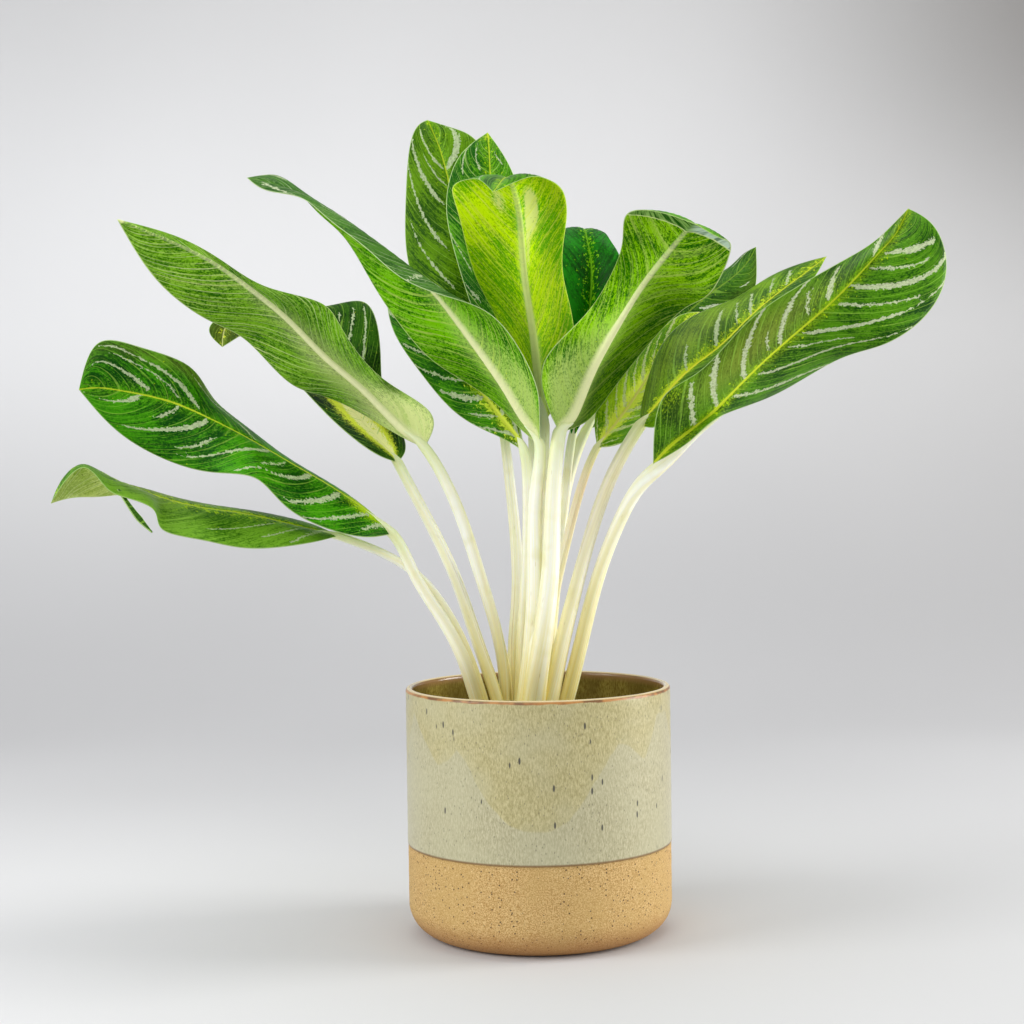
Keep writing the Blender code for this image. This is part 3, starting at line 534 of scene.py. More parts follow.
# Each leaf: the stalk's radii at foot and top, its line, the midrib, and the blade's two edges
# seen from the upper side, base to tip. All in millimetres. Where a blade's base hangs below its
# joint as a lobe, stalk_end is the stalk's own way to the joint.
LEAVES = {
    "leaf_tall_back": {
        "stalk_radii": (4.2, 2.6),
        "stalk": [(-16, 12, 103), (-14, 14, 129), (-13, 20, 163), (-11, 27, 203), (-15, 33, 256)],
        "rib": [(-18, 36, 282), (-22, 44, 303), (-31, 57, 348), (-40, 70, 394), (-47, 82, 424),
                (-54, 92, 453), (-59, 98, 468), (-64, 104, 480)],
        "left": [(-37, 31, 304), (-60, 45, 348), (-75, 70, 388), (-77, 82, 424), (-75, 92, 459),
                 (-70, 98, 475)],
        "right": [(-8, 58, 308), (-3, 71, 353), (-7, 70, 400), (-14, 82, 432), (-31, 92, 462),
                  (-46, 98, 473)],
    },
    "leaf_back_middle": {
        "stalk_radii": (4.2, 2.6),
        "stalk": [(-8, 10, 103), (-6, 12, 129), (-4, 16, 163), (-2, 21, 204), (-1, 26, 250)],
        "rib": [(-1, 29, 280), (-5, 33, 305), (-14, 42, 350), (-21, 52, 392), (-24, 62, 427),
                (-25, 70, 450), (-26, 78, 467)],
        "left": [(-15, 27, 305), (-33, 35, 349), (-47, 48, 395), (-51, 62, 424), (-44, 70, 450)],
        "right": [(6, 27, 309), (2, 34, 355), (-1, 44, 398), (-6, 57, 425), (-14, 67, 447)],
    },
    "leaf_front_middle": {
        "stalk_radii": (5.4, 3.4),
        "stalk": [(-5, -11, 107), (-3, -14, 132), (0, -14, 166), (2, -12, 205), (3, -10, 250)],
        "rib": [(5, -8, 287), (3, -11, 305), (0, -20, 335), (-4, -32, 366), (-6, -46, 394),
                (-9, -58, 410), (-12, -74, 415), (-15, -98, 410), (-19, -124, 400)],
        "left": [(16, 2, 307), (23, 3, 340), (17, -4, 373), (19, -25, 398), (17, -47, 412),
                 (8, -64, 416), (-2, -87, 413)],
        "right": [(-8, 3, 309), (-19, 6, 344), (-32, -11, 371), (-39, -46, 398), (-42, -58, 413),
                  (-33, -66, 416), (-26, -85, 412)],
    },
    "leaf_small_back": {
        "stalk_radii": (4.0, 2.4),
        "stalk": [(1, 12, 103), (4, 16, 129), (7, 19, 163), (12, 24, 209), (18, 29, 250)],
        "rib": [(22, 32, 280), (29, 35, 311), (33, 39, 349), (35, 46, 380), (33, 60, 399),
                (32, 80, 408), (31, 108, 401)],
        "left": [(17, 19, 311), (14, 26, 351), (14, 41, 383), (17, 53, 400), (21, 80, 408)],
        "right": [(39, 19, 312), (49, 23, 355), (52, 34, 382), (47, 49, 396), (42, 80, 406)],
    },
    "leaf_front_right": {
        "stalk_radii": (6.0, 3.8),
        "stalk": [(-3, -16, 107), (-2, -20, 133), (3, -24, 167), (8, -22, 206), (10, -20, 245)],
        "rib": [(14, -20, 282), (21, -20, 290), (31, -24, 312), (44, -32, 336), (59, -44, 360),
                (72, -58, 376), (81, -76, 386), (83, -96, 387), (83, -118, 383)],
        "left": [(30, -4, 289), (45, 2, 307), (69, -6, 336), (86, -24, 351), (96, -58, 356),
                 (104, -76, 375), (97, -96, 379)],
        "right": [(7, -30, 297), (6, -38, 321), (28, -23, 346), (44, -15, 370), (49, -43, 385),
                  (50, -76, 395), (65, -96, 393)],
    },
    "leaf_back_right": {
        "stalk_radii": (4.4, 2.8),
        "stalk": [(4, 9, 103), (5, 11, 129), (7, 17, 163), (12, 24, 209), (18, 30, 250)],
        "rib": [(30, 36, 284), (46, 50, 305), (74, 70, 336), (101, 86, 362), (121, 96, 377),
                (133, 104, 388), (140, 110, 399)],
        "left": [(35, 64, 316), (56, 85, 351), (88, 100, 372), (117, 108, 383), (131, 113, 394)],
        "right": [(58, 54, 298), (89, 75, 323), (115, 83, 345), (134, 94, 364), (139, 100, 381)],
    },
    "leaf_right_inner": {
        "stalk_radii": (3.6, 2.2),
        "stalk": [(4, 2, 105), (4, 2, 130), (9, 5, 181), (16, 8, 214), (26, 11, 250)],
        "rib": [(36, 15, 274), (45, 22, 285), (58, 34, 302), (71, 48, 321), (86, 62, 341),
                (101, 74, 356)],
        "left": [(36, 30, 295), (48, 40, 315), (65, 55, 332), (84, 66, 351)],
        "right": [(51, 4, 277), (70, 23, 292), (86, 43, 309), (101, 62, 332)],
    },
    "leaf_right_middle": {
        "stalk_radii": (5.6, 3.6),
        "stalk": [(3, -6, 106), (7, -9, 132), (16, -10, 172), (28, -8, 216), (43, -4, 257)],
        "rib": [(60, 0, 286), (69, 4, 297), (81, 12, 310), (95, 24, 322), (111, 38, 334),
                (129, 54, 351), (149, 70, 367), (167, 86, 380), (182, 98, 391)],
        "left": [(62, 23, 297), (68, 35, 318), (80, 46, 340), (101, 62, 355), (124, 81, 365),
                 (145, 91, 378), (166, 99, 387)],
        "right": [(71, -13, 286), (88, -13, 301), (104, -5, 314), (121, 8, 327), (137, 27, 341),
                  (155, 48, 360), (170, 73, 375)],
    },
    "leaf_far_right": {
        "stalk_radii": (5.4, 3.3),
        "stalk": [(8, -2, 105), (16, -4, 131), (25, -6, 165), (35, -7, 202), (48, -8, 234)],
        "stalk_end": [(60, -8, 253), (75, -8, 267), (91, -9, 283), (105, -12, 295)],
        "rib": [(66, -17, 264), (83, -19, 280), (100, -18, 293), (121, -12, 313), (145, -4, 334),
                (168, 4, 353), (187, 14, 371), (203, 24, 387), (213, 33, 398), (221, 42, 412)],
        "left": [(66, -28, 282), (72, -35, 302), (93, -26, 316), (119, -19, 342), (148, -11, 362),
                 (173, 0, 376), (192, 14, 387), (206, 27, 398)],
        "right": [(86, -20, 276), (104, -18, 290), (139, 19, 303), (174, 16, 322), (199, 4, 330),
                  (225, 14, 347), (239, 24, 373), (235, 33, 399)],
    },
    "leaf_front_left": {
        "stalk_radii": (5.0, 3.2),
        "stalk": [(-11, -5, 106), (-7, -8, 132), (-3, -13, 166), (-1, -16, 206), (0, -18, 245)],
        "rib": [(3, -20, 275), (-5, -22, 289), (-16, -25, 307), (-33, -29, 332), (-52, -31, 358),
                (-72, -28, 378), (-94, -25, 395), (-114, -23, 409), (-132, -22, 418), (-146, -23, 423),
                (-157, -26, 425)],
        "left": [(3, -38, 295), (-1, -48, 314), (-18, -58, 341), (-41, -64, 353), (-68, -59, 364),
                 (-89, -51, 382), (-110, -44, 399), (-126, -36, 412), (-145, -30, 417)],
        "right": [(-10, -10, 287), (-27, 1, 304), (-53, -4, 321), (-70, -10, 338), (-88, -4, 364),
                  (-105, 1, 393), (-121, -2, 409), (-137, -8, 426), (-149, -16, 428)],
    },
    "leaf_left_inner": {
        "stalk_radii": (4.2, 2.8),
        "stalk": [(-13, 3, 105), (-10, 3, 130), (-8, 4, 165), (-5, 5, 204), (-4, 6, 244)],
        "rib": [(-6, 7, 272), (-15, 9, 287), (-31, 12, 308), (-47, 16, 330), (-62, 22, 350),
                (-74, 29, 368), (-85, 36, 384)],
        "left": [(-21, 9, 281), (-44, 12, 294), (-65, 16, 318), (-80, 22, 341), (-85, 29, 362)],
        "right": [(-10, 9, 292), (-22, 12, 316), (-36, 16, 337), (-51, 22, 357), (-67, 29, 374)],
    },
    "leaf_left_upper": {
        "stalk_radii": (4.6, 2.8),
        "stalk": [(-19, 8, 104), (-18, 8, 130), (-22, 6, 165), (-33, 2, 205), (-46, -3, 245)],
        "rib": [(-62, -8, 275), (-75, -10, 286), (-94, -15, 306), (-115, -22, 325), (-135, -30, 346),
                (-156, -38, 364), (-176, -46, 378), (-199, -54, 389), (-221, -62, 398)],
        "left": [(-59, -1, 295), (-88, 14, 316), (-109, 8, 343), (-121, -2, 358), (-149, -10, 366),
                 (-171, -23, 379), (-193, -41, 391)],
        "right": [(-80, -2, 284), (-114, 11, 303), (-139, 3, 313), (-161, -7, 336), (-180, -28, 347),
                  (-199, -46, 362), (-212, -54, 380)],
    },
    "leaf_left_back": {
        "stalk_radii": (4.8, 3.0),
        "stalk": [(-20, 0, 105), (-23, -2, 131), (-34, 1, 165), (-48, 5, 205), (-66, 10, 242)],
        "rib": [(-79, 14, 267), (-87, 18, 278), (-105, 26, 297), (-122, 40, 316), (-136, 54, 335),
                (-150, 70, 347), (-175, 90, 356), (-191, 102, 354), (-195, 108, 341)],
        "left": [(-92, 0, 273), (-113, 12, 289), (-132, 22, 308), (-149, 38, 325), (-161, 46, 336),
                 (-177, 82, 345), (-185, 102, 346)],
        "right": [(-76, 33, 280), (-88, 46, 307), (-90, 40, 332), (-99, 54, 362), (-129, 70, 362),
                  (-170, 95, 366), (-201, 103, 355)],
    },
    "leaf_left_lower": {
        "stalk_radii": (5.2, 3.2),
        "stalk": [(-24, -5, 106), (-34, -9, 132), (-41, -15, 155), (-53, -16, 179), (-68, -17, 204)],
        "rib": [(-80, -18, 227), (-107, -22, 250), (-134, -27, 267), (-157, -32, 281), (-179, -38, 293),
                (-200, -43, 302), (-221, -48, 307), (-235, -52, 309), (-245, -55, 308)],
        "left": [(-100, -40, 227), (-132, -49, 241), (-150, -57, 259), (-179, -46, 263),
                 (-210, -43, 274), (-229, -48, 288), (-240, -52, 301)],
        "right": [(-107, 7, 244), (-139, 8, 263), (-162, 2, 285), (-180, -10, 304), (-189, -35, 321),
                  (-213, -48, 331), (-235, -52, 333)],
    },
    "leaf_left_lowest": {
        "stalk_radii": (4.2, 2.4),
        "stalk": [(-24, -3, 106), (-31, -4, 131), (-40, -8, 160), (-54, -10, 188), (-77, -12, 211)],
        "rib": [(-111, -14, 226), (-132, -18, 232), (-158, -24, 239), (-181, -30, 243),
                (-201, -35, 248), (-214, -39, 253), (-225, -44, 258), (-235, -49, 264),
                (-245, -53, 267), (-254, -57, 260), (-260, -60, 247)],
        "left": [(-126, -39, 223), (-155, -47, 221), (-179, -55, 226), (-200, -59, 232),
                 (-204, -63, 243), (-219, -66, 250), (-229, -67, 256), (-239, -69, 266),
                 (-251, -67, 258)],
        "right": [(-129, 4, 232), (-156, 5, 237), (-182, 1, 241), (-203, -6, 246), (-217, -12, 250),
                  (-229, -21, 251), (-240, -35, 250), (-246, -53, 250), (-254, -54, 249)],
    },
}


def spline(points, where):
    """A smooth curve through the points, given in millimetres: a natural cubic, with point number i
    at where == i."""
    points = np.array(points) * MM
    count = len(points)
    system = np.eye(count)
    right_side = np.zeros_like(points)
    for i in range(1, count - 1):
        system[i, i - 1:i + 2] = (1, 4, 1)
        right_side[i] = 6 * (points[i - 1] - 2 * points[i] + points[i + 1])
    bend = np.linalg.solve(system, right_side)
    low = np.clip(np.floor(where).astype(int), 0, count - 2)
    t = (where - low)[:, None]
    straight = (1 - t) * points[low] + t * points[low + 1]
    return straight - t * (1 - t) / 6 * ((2 - t) * bend[low] + (1 + t) * bend[low + 1])


def unit(vectors):
    """Vectors scaled to length one."""
    return vectors / np.maximum(np.linalg.norm(vectors, axis=-1, keepdims=True), 1e-9)


def length_so_far(points, axis):
    """The length of the path through the points along one axis, up to each point."""
    steps = np.diff(points, axis=axis, prepend=points.take([0], axis))
    return np.linalg.norm(steps, axis=-1).cumsum(axis)


def rib_and_edges(leaf, where):
    """Points on the midrib, the left edge and the right edge at the given midrib points. The midrib's
    curve takes in the stalk, and both edges begin and end on the midrib."""
    base, tip = leaf["rib"][:1], leaf["rib"][-1:]
    rib = spline(leaf["stalk"] + leaf["rib"], where + len(leaf["stalk"]))
    return rib, spline(base + leaf["left"] + tip, where), spline(base + leaf["right"] + tip, where)


def stalk_tube(leaf):
    """A stalk's skin: an oval ring carried along the line from its foot to some way up the midrib.
    The ring's radius falls evenly, and its upper side has a channel between two low wings."""
    own_end = leaf.get("stalk_end", [])
    passed = LOBE_POINTS if own_end else 0
    last = len(leaf["stalk"]) + max(len(own_end) - 1, 0)
    beyond_last = np.linspace(0.05, RIB_REACH, RIB_ROWS)
    where = np.concatenate([np.linspace(0, last, STALK_ROWS), last + beyond_last])
    centre = spline(leaf["stalk"] + own_end + leaf["rib"][passed:], where)
    centre[0, 2] = STALK_FOOT
    along = unit(np.gradient(centre, axis=0))
    share = np.clip(where / last, 0, 1)[:, None]
    beyond = np.clip(where - last, 0, 1)[:, None]
    low, high = (radius * MM for radius in leaf["stalk_radii"])
    radius = low + (high - low) * share
    radius = radius * (1 + FOOT_WIDENING * np.clip(1 - share / FOOT_SHARE, 0, 1) ** 2)
    radius = radius * (1 - TOP_TAPER * beyond / RIB_REACH)
    rib, left, right = rib_and_edges(leaf, np.array([0.15, 0.5, 0.9]) + max(passed - 1, 0))
    blade_up = unit(np.cross(right - left, np.gradient(rib, axis=0)))[1]
    to_axis = unit(-centre * (1, 1, 0) + (0, 0, 0.02))
    facing = unit(to_axis * (1 - share ** 2) + blade_up * share ** 2 + 1e-4)
    facing = unit(facing - along * np.sum(facing * along, axis=1, keepdims=True))
    side = np.cross(facing, along)
    angle = np.linspace(0, 2 * math.pi, STALK_SIDES, endpoint=False)
    off = np.abs(np.angle(np.exp(1j * angle)))
    wing_height, wide = (foot + (top - foot) * share for foot, top in (WING_HEIGHTS, FLATNESS))
    channel = CHANNEL_DEPTH * np.exp(-(off / CHANNEL_WIDTH) ** 2)
    wings = wing_height * np.exp(-((off - WING_PLACE) / WING_WIDTH) ** 2)
    ring = radius * (1 - channel + wings)
    centre = centre - facing * beyond * (high * 0.75 + radius * 0.3)
    points = (centre[:, None] + facing[:, None] * (ring / wide * np.cos(angle))[..., None]
              + side[:, None] * (ring * wide * np.sin(angle))[..., None])
    return points, together(angle / (2 * math.pi), length_so_far(centre, 0)[:, None] * 10, share)


stalk_points, stalk_skin, stalk_tan = [], [], []
for number, (name, leaf) in enumerate(LEAVES.items()):
    points, skin = stalk_tube(leaf)
    stalk_points.append(with_ends(points))
    skin[..., 1] += number * MARKING_SHIFT
    stalk_skin.append(np.concatenate([skin.reshape(-1, 3), skin[[0, -1], 0]]))
    stalk_tan.append(np.full(len(stalk_points[0]), TANNED.get(name, 0.0)))
tube = tube_faces(STALK_ROWS + RIB_ROWS, STALK_SIDES, flip=True)
stalk_faces = repeated(tube, len(LEAVES), len(stalk_points[0]))
stalks = mesh_piece("leaf_stalks", np.concatenate(stalk_points), *stalk_faces)
add_reading(stalks, "skin", np.concatenate(stalk_skin))
add_reading(stalks, "tan", np.concatenate(stalk_tan))

juice = Finish("pale_stalk_skin")
skin_place = juice.read("skin", "Vector")
around, _, share_up = juice.axes(skin_place)
fibres = juice.noise((34, 1.1, 1), skin_place, detail=3.0, rough=0.6)
stalk_top = fibres.shades(0.3, 0.7, (252, 250, 212), (255, 255, 246))
# The foot's yellow is partly the stalks' own colour and partly painted shade low among the clasped stalks.
foot_yellow_and_shade = fibres.shades(0.3, 0.7, (244, 220, 108), (255, 248, 178))
stalk_colour = stalk_top.under(share_up.step(0.62, 0.04), foot_yellow_and_shade)
off_middle = abs(around - 0.5)
# Painted shade: the stalks' sides are painted yellower, where they turn away from the light.
painted_side_shade = abs(off_middle - 0.25).step(0.13, 0.0, 0.0, 0.38) * fibres.step(0.35, 0.6, 0.4, 1.0)
stalk_colour = stalk_colour.under(painted_side_shade, (228, 216, 116))
tanned = juice.read("tan") * share_up.step(0.35, 0.85) * fibres.step(0.35, 0.6, 0.35, 0.85)
stalk_colour = stalk_colour.under(tanned, (190, 146, 78))
stalk_colour = stalk_colour.under(share_up.step(0.80, 1.0) * 0.45, (214, 232, 138))
stalk_colour = stalk_colour.under(juice.noise(60.0).step(0.5, 0.75, 0.0, 0.3), (214, 208, 110))
wing_break = juice.noise((4, 0.9, 1), skin_place).step(0.46, 0.62)
wing_edge = abs(off_middle - 0.365).step(0.014, 0.003) * wing_break * share_up.step(0.85, 0.3)
stalk_colour = stalk_colour.under(wing_edge * 0.65, (158, 118, 62))
flecks = juice.cells((14, 5, 1), skin_place).step(0.10, 0.04)
stalk_colour = stalk_colour.under(flecks * 0.45, (186, 160, 84))
juice.done(stalks, stalk_colour, 0.42, juice.bump(fibres, 0.0004, 0.35), Specular_IOR_Level=0.45,
           Subsurface_Weight=0.15, Subsurface_Radius=(0.004, 0.003, 0.0012))
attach(stalks, "root")
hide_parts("stalks")

# The blades are thin and leathery, with a glossy, white-streaked upper side and a dull, paler lower
# side. Each is one sheet that arches out from its midrib, with side veins that sweep to the tip.
BLADE_ROWS = 150
HALF_COLUMNS = 24
HALF_BULGE = 0.16
BLADE_THICKNESS = 0.0006
RIB_RISE = 0.0018
GROOVE = 0.0005
QUILT = 0.0001
VEIN_SPACING = 7.0  # this and the next three in millimetres
STREAK_ROOM = 2.8
STREAK_CORE = 0.9
FAR_OFF = 30.0
UNDER_SEED = 40
PIXEL_HALF_WIDTH = 0.67  # millimetres; the ragged border adds the rest
HIDDEN_PENALTY = 30.0
DRIFT_PULL = 0.15
# Each side's colours, how many flecks it has, and how rough and shiny it is. Then, of the same side:
# the strength of the mottling, of the vein lines and of the streaks, the gap between veins against
# the upper side's, and the midrib line: width at base and tip, outer and inner end of its border and
# its strength at the tip. Then how far the veins stand out, or less than nothing if they press in.
# halo is how many millimetres the lower side's pale zone reaches out from the midrib's foot, and
# rolled is the place along the blade, 0 to 1, past which a rolled tip shows.
UPPER = dict(deep=(10, 70, 0), light=(90, 164, 4), near=(118, 178, 6), streak=(192, 208, 160),
             line=(150, 196, 70), fleck=(178, 214, 10), rib=(206, 222, 50), edge=(176, 206, 126),
             flecks=0.6, rough=0.42, shine=0.08, mottling=0.6, veins=0.42, streaks=0.9, gap=1.0,
             rib_base=0.9, rib_tip=0.35, rib_outer=1.25, rib_inner=0.7, rib_end=0.7, vein_relief=-0.4)
UNDER = dict(deep=(44, 108, 0), light=(152, 206, 12), pale=(178, 206, 108), streak=(176, 208, 92),
             line=(186, 214, 96), fleck=(184, 214, 50), rib=(242, 243, 186), edge=(206, 226, 150),
             flecks=0.3, rough=0.6, shine=0.03, mottling=0.9, veins=0.62, streaks=0.3, gap=0.8,
             rib_base=3.4, rib_tip=0.5, rib_outer=1.7, rib_inner=0.3, rib_end=0.12, vein_relief=0.5,
             halo=20.0)
# Leaves whose colours differ from these, for the upper and the lower side.
OTHER_UPPER = {
    "leaf_tall_back": dict(deep=(30, 74, 0), light=(96, 144, 4)),
    "leaf_back_middle": dict(deep=(16, 86, 0), light=(92, 164, 8), edge=(206, 230, 160),
                             line=(190, 220, 120)),
    "leaf_small_back": dict(deep=(8, 64, 0), light=(24, 130, 0), near=(30, 110, 0), line=(30, 100, 10),
                            fleck=(130, 196, 10), rib=(110, 170, 20), edge=(40, 130, 20), flecks=1.0),
    "leaf_back_right": dict(deep=(10, 50, 0), light=(50, 104, 10), near=(70, 124, 8),
                            streak=(214, 224, 190), rib=(124, 156, 40), flecks=0.2),
    "leaf_right_inner": dict(deep=(76, 132, 0), light=(172, 208, 24), near=(206, 222, 50),
                             streak=(206, 218, 146), fleck=(214, 230, 70), rib=(226, 222, 120), flecks=1.0),
    "leaf_right_middle": dict(deep=(34, 84, 0), light=(112, 160, 10), near=(168, 200, 20),
                              fleck=(200, 222, 30), rib=(222, 222, 60), flecks=1.0),
    "leaf_far_right": dict(deep=(12, 62, 0), light=(80, 140, 8), near=(150, 190, 6),
                           streak=(200, 212, 168)),
    "leaf_left_inner": dict(deep=(12, 78, 0), light=(68, 144, 0), near=(180, 206, 30),
                            fleck=(206, 228, 60), rib=(218, 230, 80), flecks=1.1),
    "leaf_left_back": dict(deep=(4, 36, 0), light=(44, 92, 0), near=(130, 170, 10), fleck=(226, 236, 60),
                           rib=(255, 253, 176)),
    "leaf_left_lower": dict(deep=(4, 66, 0), light=(66, 152, 2), near=(90, 166, 4), flecks=0.2),
    "leaf_left_lowest": dict(deep=(42, 98, 4), light=(114, 168, 40), flecks=1.2),
    "leaf_front_left": dict(deep=(22, 76, 2), light=(74, 128, 30), near=(70, 124, 24), rib=(96, 140, 50),
                            streak=(204, 216, 172), line=(206, 222, 172), edge=(206, 226, 170), flecks=0.0),
}
OTHER_UNDER = {
    # leaf_front_middle's lower side is painted bright lime: partly its own colour, partly painted light
    # shining through the thin leaf.
    "leaf_front_middle": dict(deep=(100, 184, 0), light=(214, 254, 0), pale=(222, 236, 130),
                              streak=(216, 236, 70), line=(226, 240, 90), fleck=(228, 240, 110),
                              rib=(218, 234, 140), edge=(218, 238, 110), halo=6.0),
    "leaf_front_right": dict(deep=(32, 104, 0), light=(150, 212, 4), rolled=0.772),
    "leaf_front_left": dict(deep=(20, 100, 0), light=(120, 196, 4)),
    "leaf_left_upper": dict(deep=(40, 102, 0), light=(130, 188, 34), pale=(226, 234, 156),
                            line=(222, 236, 160), halo=34.0),
    # leaf_left_lowest's lower side is painted pale: partly its own colour, partly painted light on its
    # shaded tip.
    "leaf_left_lowest": dict(deep=(156, 184, 76), light=(212, 228, 136), rib=(224, 232, 150),
                             line=(240, 244, 196)),
}
# Soft patches: place along the midrib and across (-1 to 1), reach along and across, and then the
# strength of yellow, cream, painted shade (on leaf_left_upper, real dark spots) and an olive painted
# sheen, as far as the patch has them.
PATCHES = {
    "leaf_tall_back": [(0.35, -0.5, 0.05, 0.25, 1), (0.5, 0.6, 0.2, 0.4, 0, 0, 0.3)],
    "leaf_front_middle": [(0.6, -0.3, 0.07, 0.15, 0, 1.15), (0.5, -0.15, 0.1, 0.09, 0, 0.6),
                          (0.62, 0.3, 0.05, 0.15, 0, 0.6), (0.45, -0.8, 0.5, 0.45, 0, 0, 0.6)],
    "leaf_left_back": [(0.1, -0.1, 0.22, 0.3, 0.6, 1.1), (0.2, -0.1, 0.3, 0.6, 0.9),
                       (0.97, 0, 0.12, 1, 0, 0.3, 0, 0.6)],
    "leaf_back_middle": [(0.99, 0, 0.03, 0.9, 0.3, 0.55)],
    "leaf_left_inner": [(0.1, 0, 0.2, 0.25, 0.85, 0.5)],
    "leaf_right_middle": [(0.1, 0, 0.35, 0.12, 0.9, 0.3), (0.3, -0.6, 0.35, 0.4, 0, 0, 0, 0.6)],
    "leaf_right_inner": [(0.2, 0, 0.45, 0.4, 0.95, 0.35)],
    "leaf_front_right": [(0.1, 0.5, 0.25, 0.6, 0, 0.6), (0.25, -0.75, 0.35, 0.6, 0, 0, 1.2)],
    "leaf_front_left": [(0.1, -0.5, 0.22, 0.5, 0, 0.6), (0.2, 0.8, 0.3, 0.3, 0, 0, 0.5)],
    "leaf_left_upper": [(0.05, -0.3, 0.2, 0.9, 0, 0.8), (0.185, -0.92, 0.03, 0.14, 0, 0, 1.2),
                        (0.19, 0.63, 0.01, 0.05, 0, 0, 1), (0.41, -0.44, 0.008, 0.04, 0, 0, 0.8),
                        (1, 0, 0.02, 1, 0, 1)],
    "leaf_far_right": [(0.02, 0, 0.1, 0.3, 0.8, 0.2), (0.42, -0.55, 0.22, 0.45, 0, 0, 0, 0.9),
                       (0.63, -0.45, 0.13, 0.35, 0.35), (0.2, -0.9, 0.12, 0.3, 0.38)],
    "leaf_back_right": [(0.7, 0.9, 0.5, 0.5, 0, 0, 0, 0.3)],
    "leaf_left_lower": [(0.5, 0.9, 0.45, 0.18, 0, 0, 0, 0.7), (0.1, 0, 0.12, 0.6, 0.7)],
    "leaf_left_lowest": [(0.5, 0.6, 0.4, 0.4, 0, 0, 0, 0.55), (0.64, 0.2, 0.14, 0.9, 0, 0, 0.3, 0.5)],
}
# The leaves that carry their patches on the lower side, which is the one seen from in front.
SEEN_BELOW = {"leaf_front_middle", "leaf_front_right", "leaf_front_left", "leaf_left_upper"}
# Streaks as they were picked in the photo: half the width, then points along it, in pixels.
STREAK_PICKS = {
    "leaf_far_right": [
        (2.2, (887, 251), (934, 241)), (2.5, (846, 290), (895, 280), (944, 260)),
        (2.5, (803, 333), (860, 322), (939, 290)), (1.6, (766, 369), (830, 353), (914, 321)),
        (1.2, (733, 397), (785, 381), (831, 364)), (0.8, (872, 267), (924, 261)),
        (0.8, (838, 304), (915, 299)), (0.6, (788, 348), (849, 338)), (2, (874, 255), (882, 232)),
        (2, (828, 300), (832, 285), (836, 271)), (2.5, (785, 346), (787, 315), (793, 298), (813, 278)),
        (2.5, (748, 377), (745, 346), (752, 326), (766, 309)), (2, (718, 406), (714, 374), (718, 354)),
        (0.6, (809, 314), (808, 293)), (0.6, (770, 351), (766, 336)),
        (1.4, (697, 425), (690, 404), (690, 385))],
    "leaf_left_lower": [
        (3, (147, 395), (130, 403), (100, 396)), (2.3, (207, 420), (179, 428), (155, 434), (126, 425)),
        (2, (266, 449), (236, 455), (209, 457), (185, 453)),
        (2, (305, 471), (284, 479), (258, 471), (228, 466)), (2, (337, 492), (313, 504), (290, 500)),
        (1.4, (367, 509), (339, 519), (309, 517)), (1, (384, 523), (367, 528)),
        (0.6, (183, 404), (157, 414)), (0.8, (214, 439), (185, 447)), (0.6, (285, 457), (265, 465)),
        (2.6, (149, 389), (133, 377), (120, 366), (98, 364)),
        (2.2, (198, 407), (175, 379), (149, 360), (108, 348)), (1, (258, 441), (228, 415), (201, 387)),
        (0.6, (180, 398), (160, 377), (120, 357))],
    "leaf_left_lowest": [
        (0.9, (280, 517), (252, 526), (213, 528)), (0.8, (228, 508), (201, 504)),
        (0.8, (301, 522), (268, 536)), (0.8, (322, 530), (300, 539)), (0.8, (179, 498), (149, 488)),
        (0.6, (250, 510), (225, 518))],
    "leaf_tall_back": [
        (1.2, (448, 168), (428, 151), (421, 133)), (2, (444, 204), (430, 186), (418, 166), (413, 141)),
        (2, (446, 247), (425, 221), (415, 193), (410, 170)),
        (2.2, (453, 286), (435, 272), (420, 246), (413, 228)), (0.7, (446, 186), (425, 156)),
        (2.8, (446, 168), (456, 148), (453, 130))],
    "leaf_back_middle": [
        (1.5, (479, 173), (475, 163), (479, 145)), (1.5, (463, 176), (462, 163), (469, 148)),
        (1.2, (502, 171), (499, 160), (492, 143)), (1.2, (473, 276), (456, 252), (450, 228)),
        (1.2, (480, 300), (470, 290))],
    "leaf_left_back": [
        (0.8, (347, 343), (354, 314)), (2, (362, 362), (368, 339), (362, 310)),
        (2, (341, 325), (337, 314))],
    "leaf_right_middle": [
        (2, (753, 314), (750, 296)), (2.4, (720, 346), (715, 326), (721, 313)),
        (1.5, (789, 283), (788, 273)), (0.7, (776, 296), (771, 281)), (0.7, (738, 323), (735, 306)),
        (1.5, (690, 370), (684, 350))],
    "leaf_front_left": [
        (1.2, (302, 189), (330, 209), (351, 224), (374, 238)),
        (1.3, (369, 247), (403, 267), (432, 281), (470, 299)), (0.9, (386, 261), (418, 278), (441, 290)),
        (0.8, (415, 267), (429, 277), (450, 287)), (0.5, (262, 172), (285, 180)),
        (0.6, (262, 178), (290, 193))],
    "leaf_back_right": [
        (2.2, (697, 312), (712, 306), (726, 301)), (2.2, (732, 296), (742, 287), (749, 276)),
        (1.6, (728, 270), (740, 259), (750, 250))],
    "leaf_small_back": [],  # it shows none
}


def half_blade(rib, edge, along, side, shares):
    """One half: each row is a quadratic curve from the midrib out to the edge, its middle handle
    raised above the chord's centre by the bulge times the chord's length."""
    chord = edge - rib
    width = np.linalg.norm(chord, axis=1, keepdims=True)
    handle = (rib + edge) / 2 + unit(np.cross(chord * side, along)) * width * HALF_BULGE
    s = shares[:, None]
    return (1 - s) ** 2 * rib[:, None] + 2 * s * (1 - s) * handle[:, None] + s * s * edge[:, None]


def joined(left, right):
    """Two halves of the blade as one grid from its left edge to its right, with one midrib column."""
    return np.concatenate([left[:, ::-1], right[:, 1:]], axis=1)


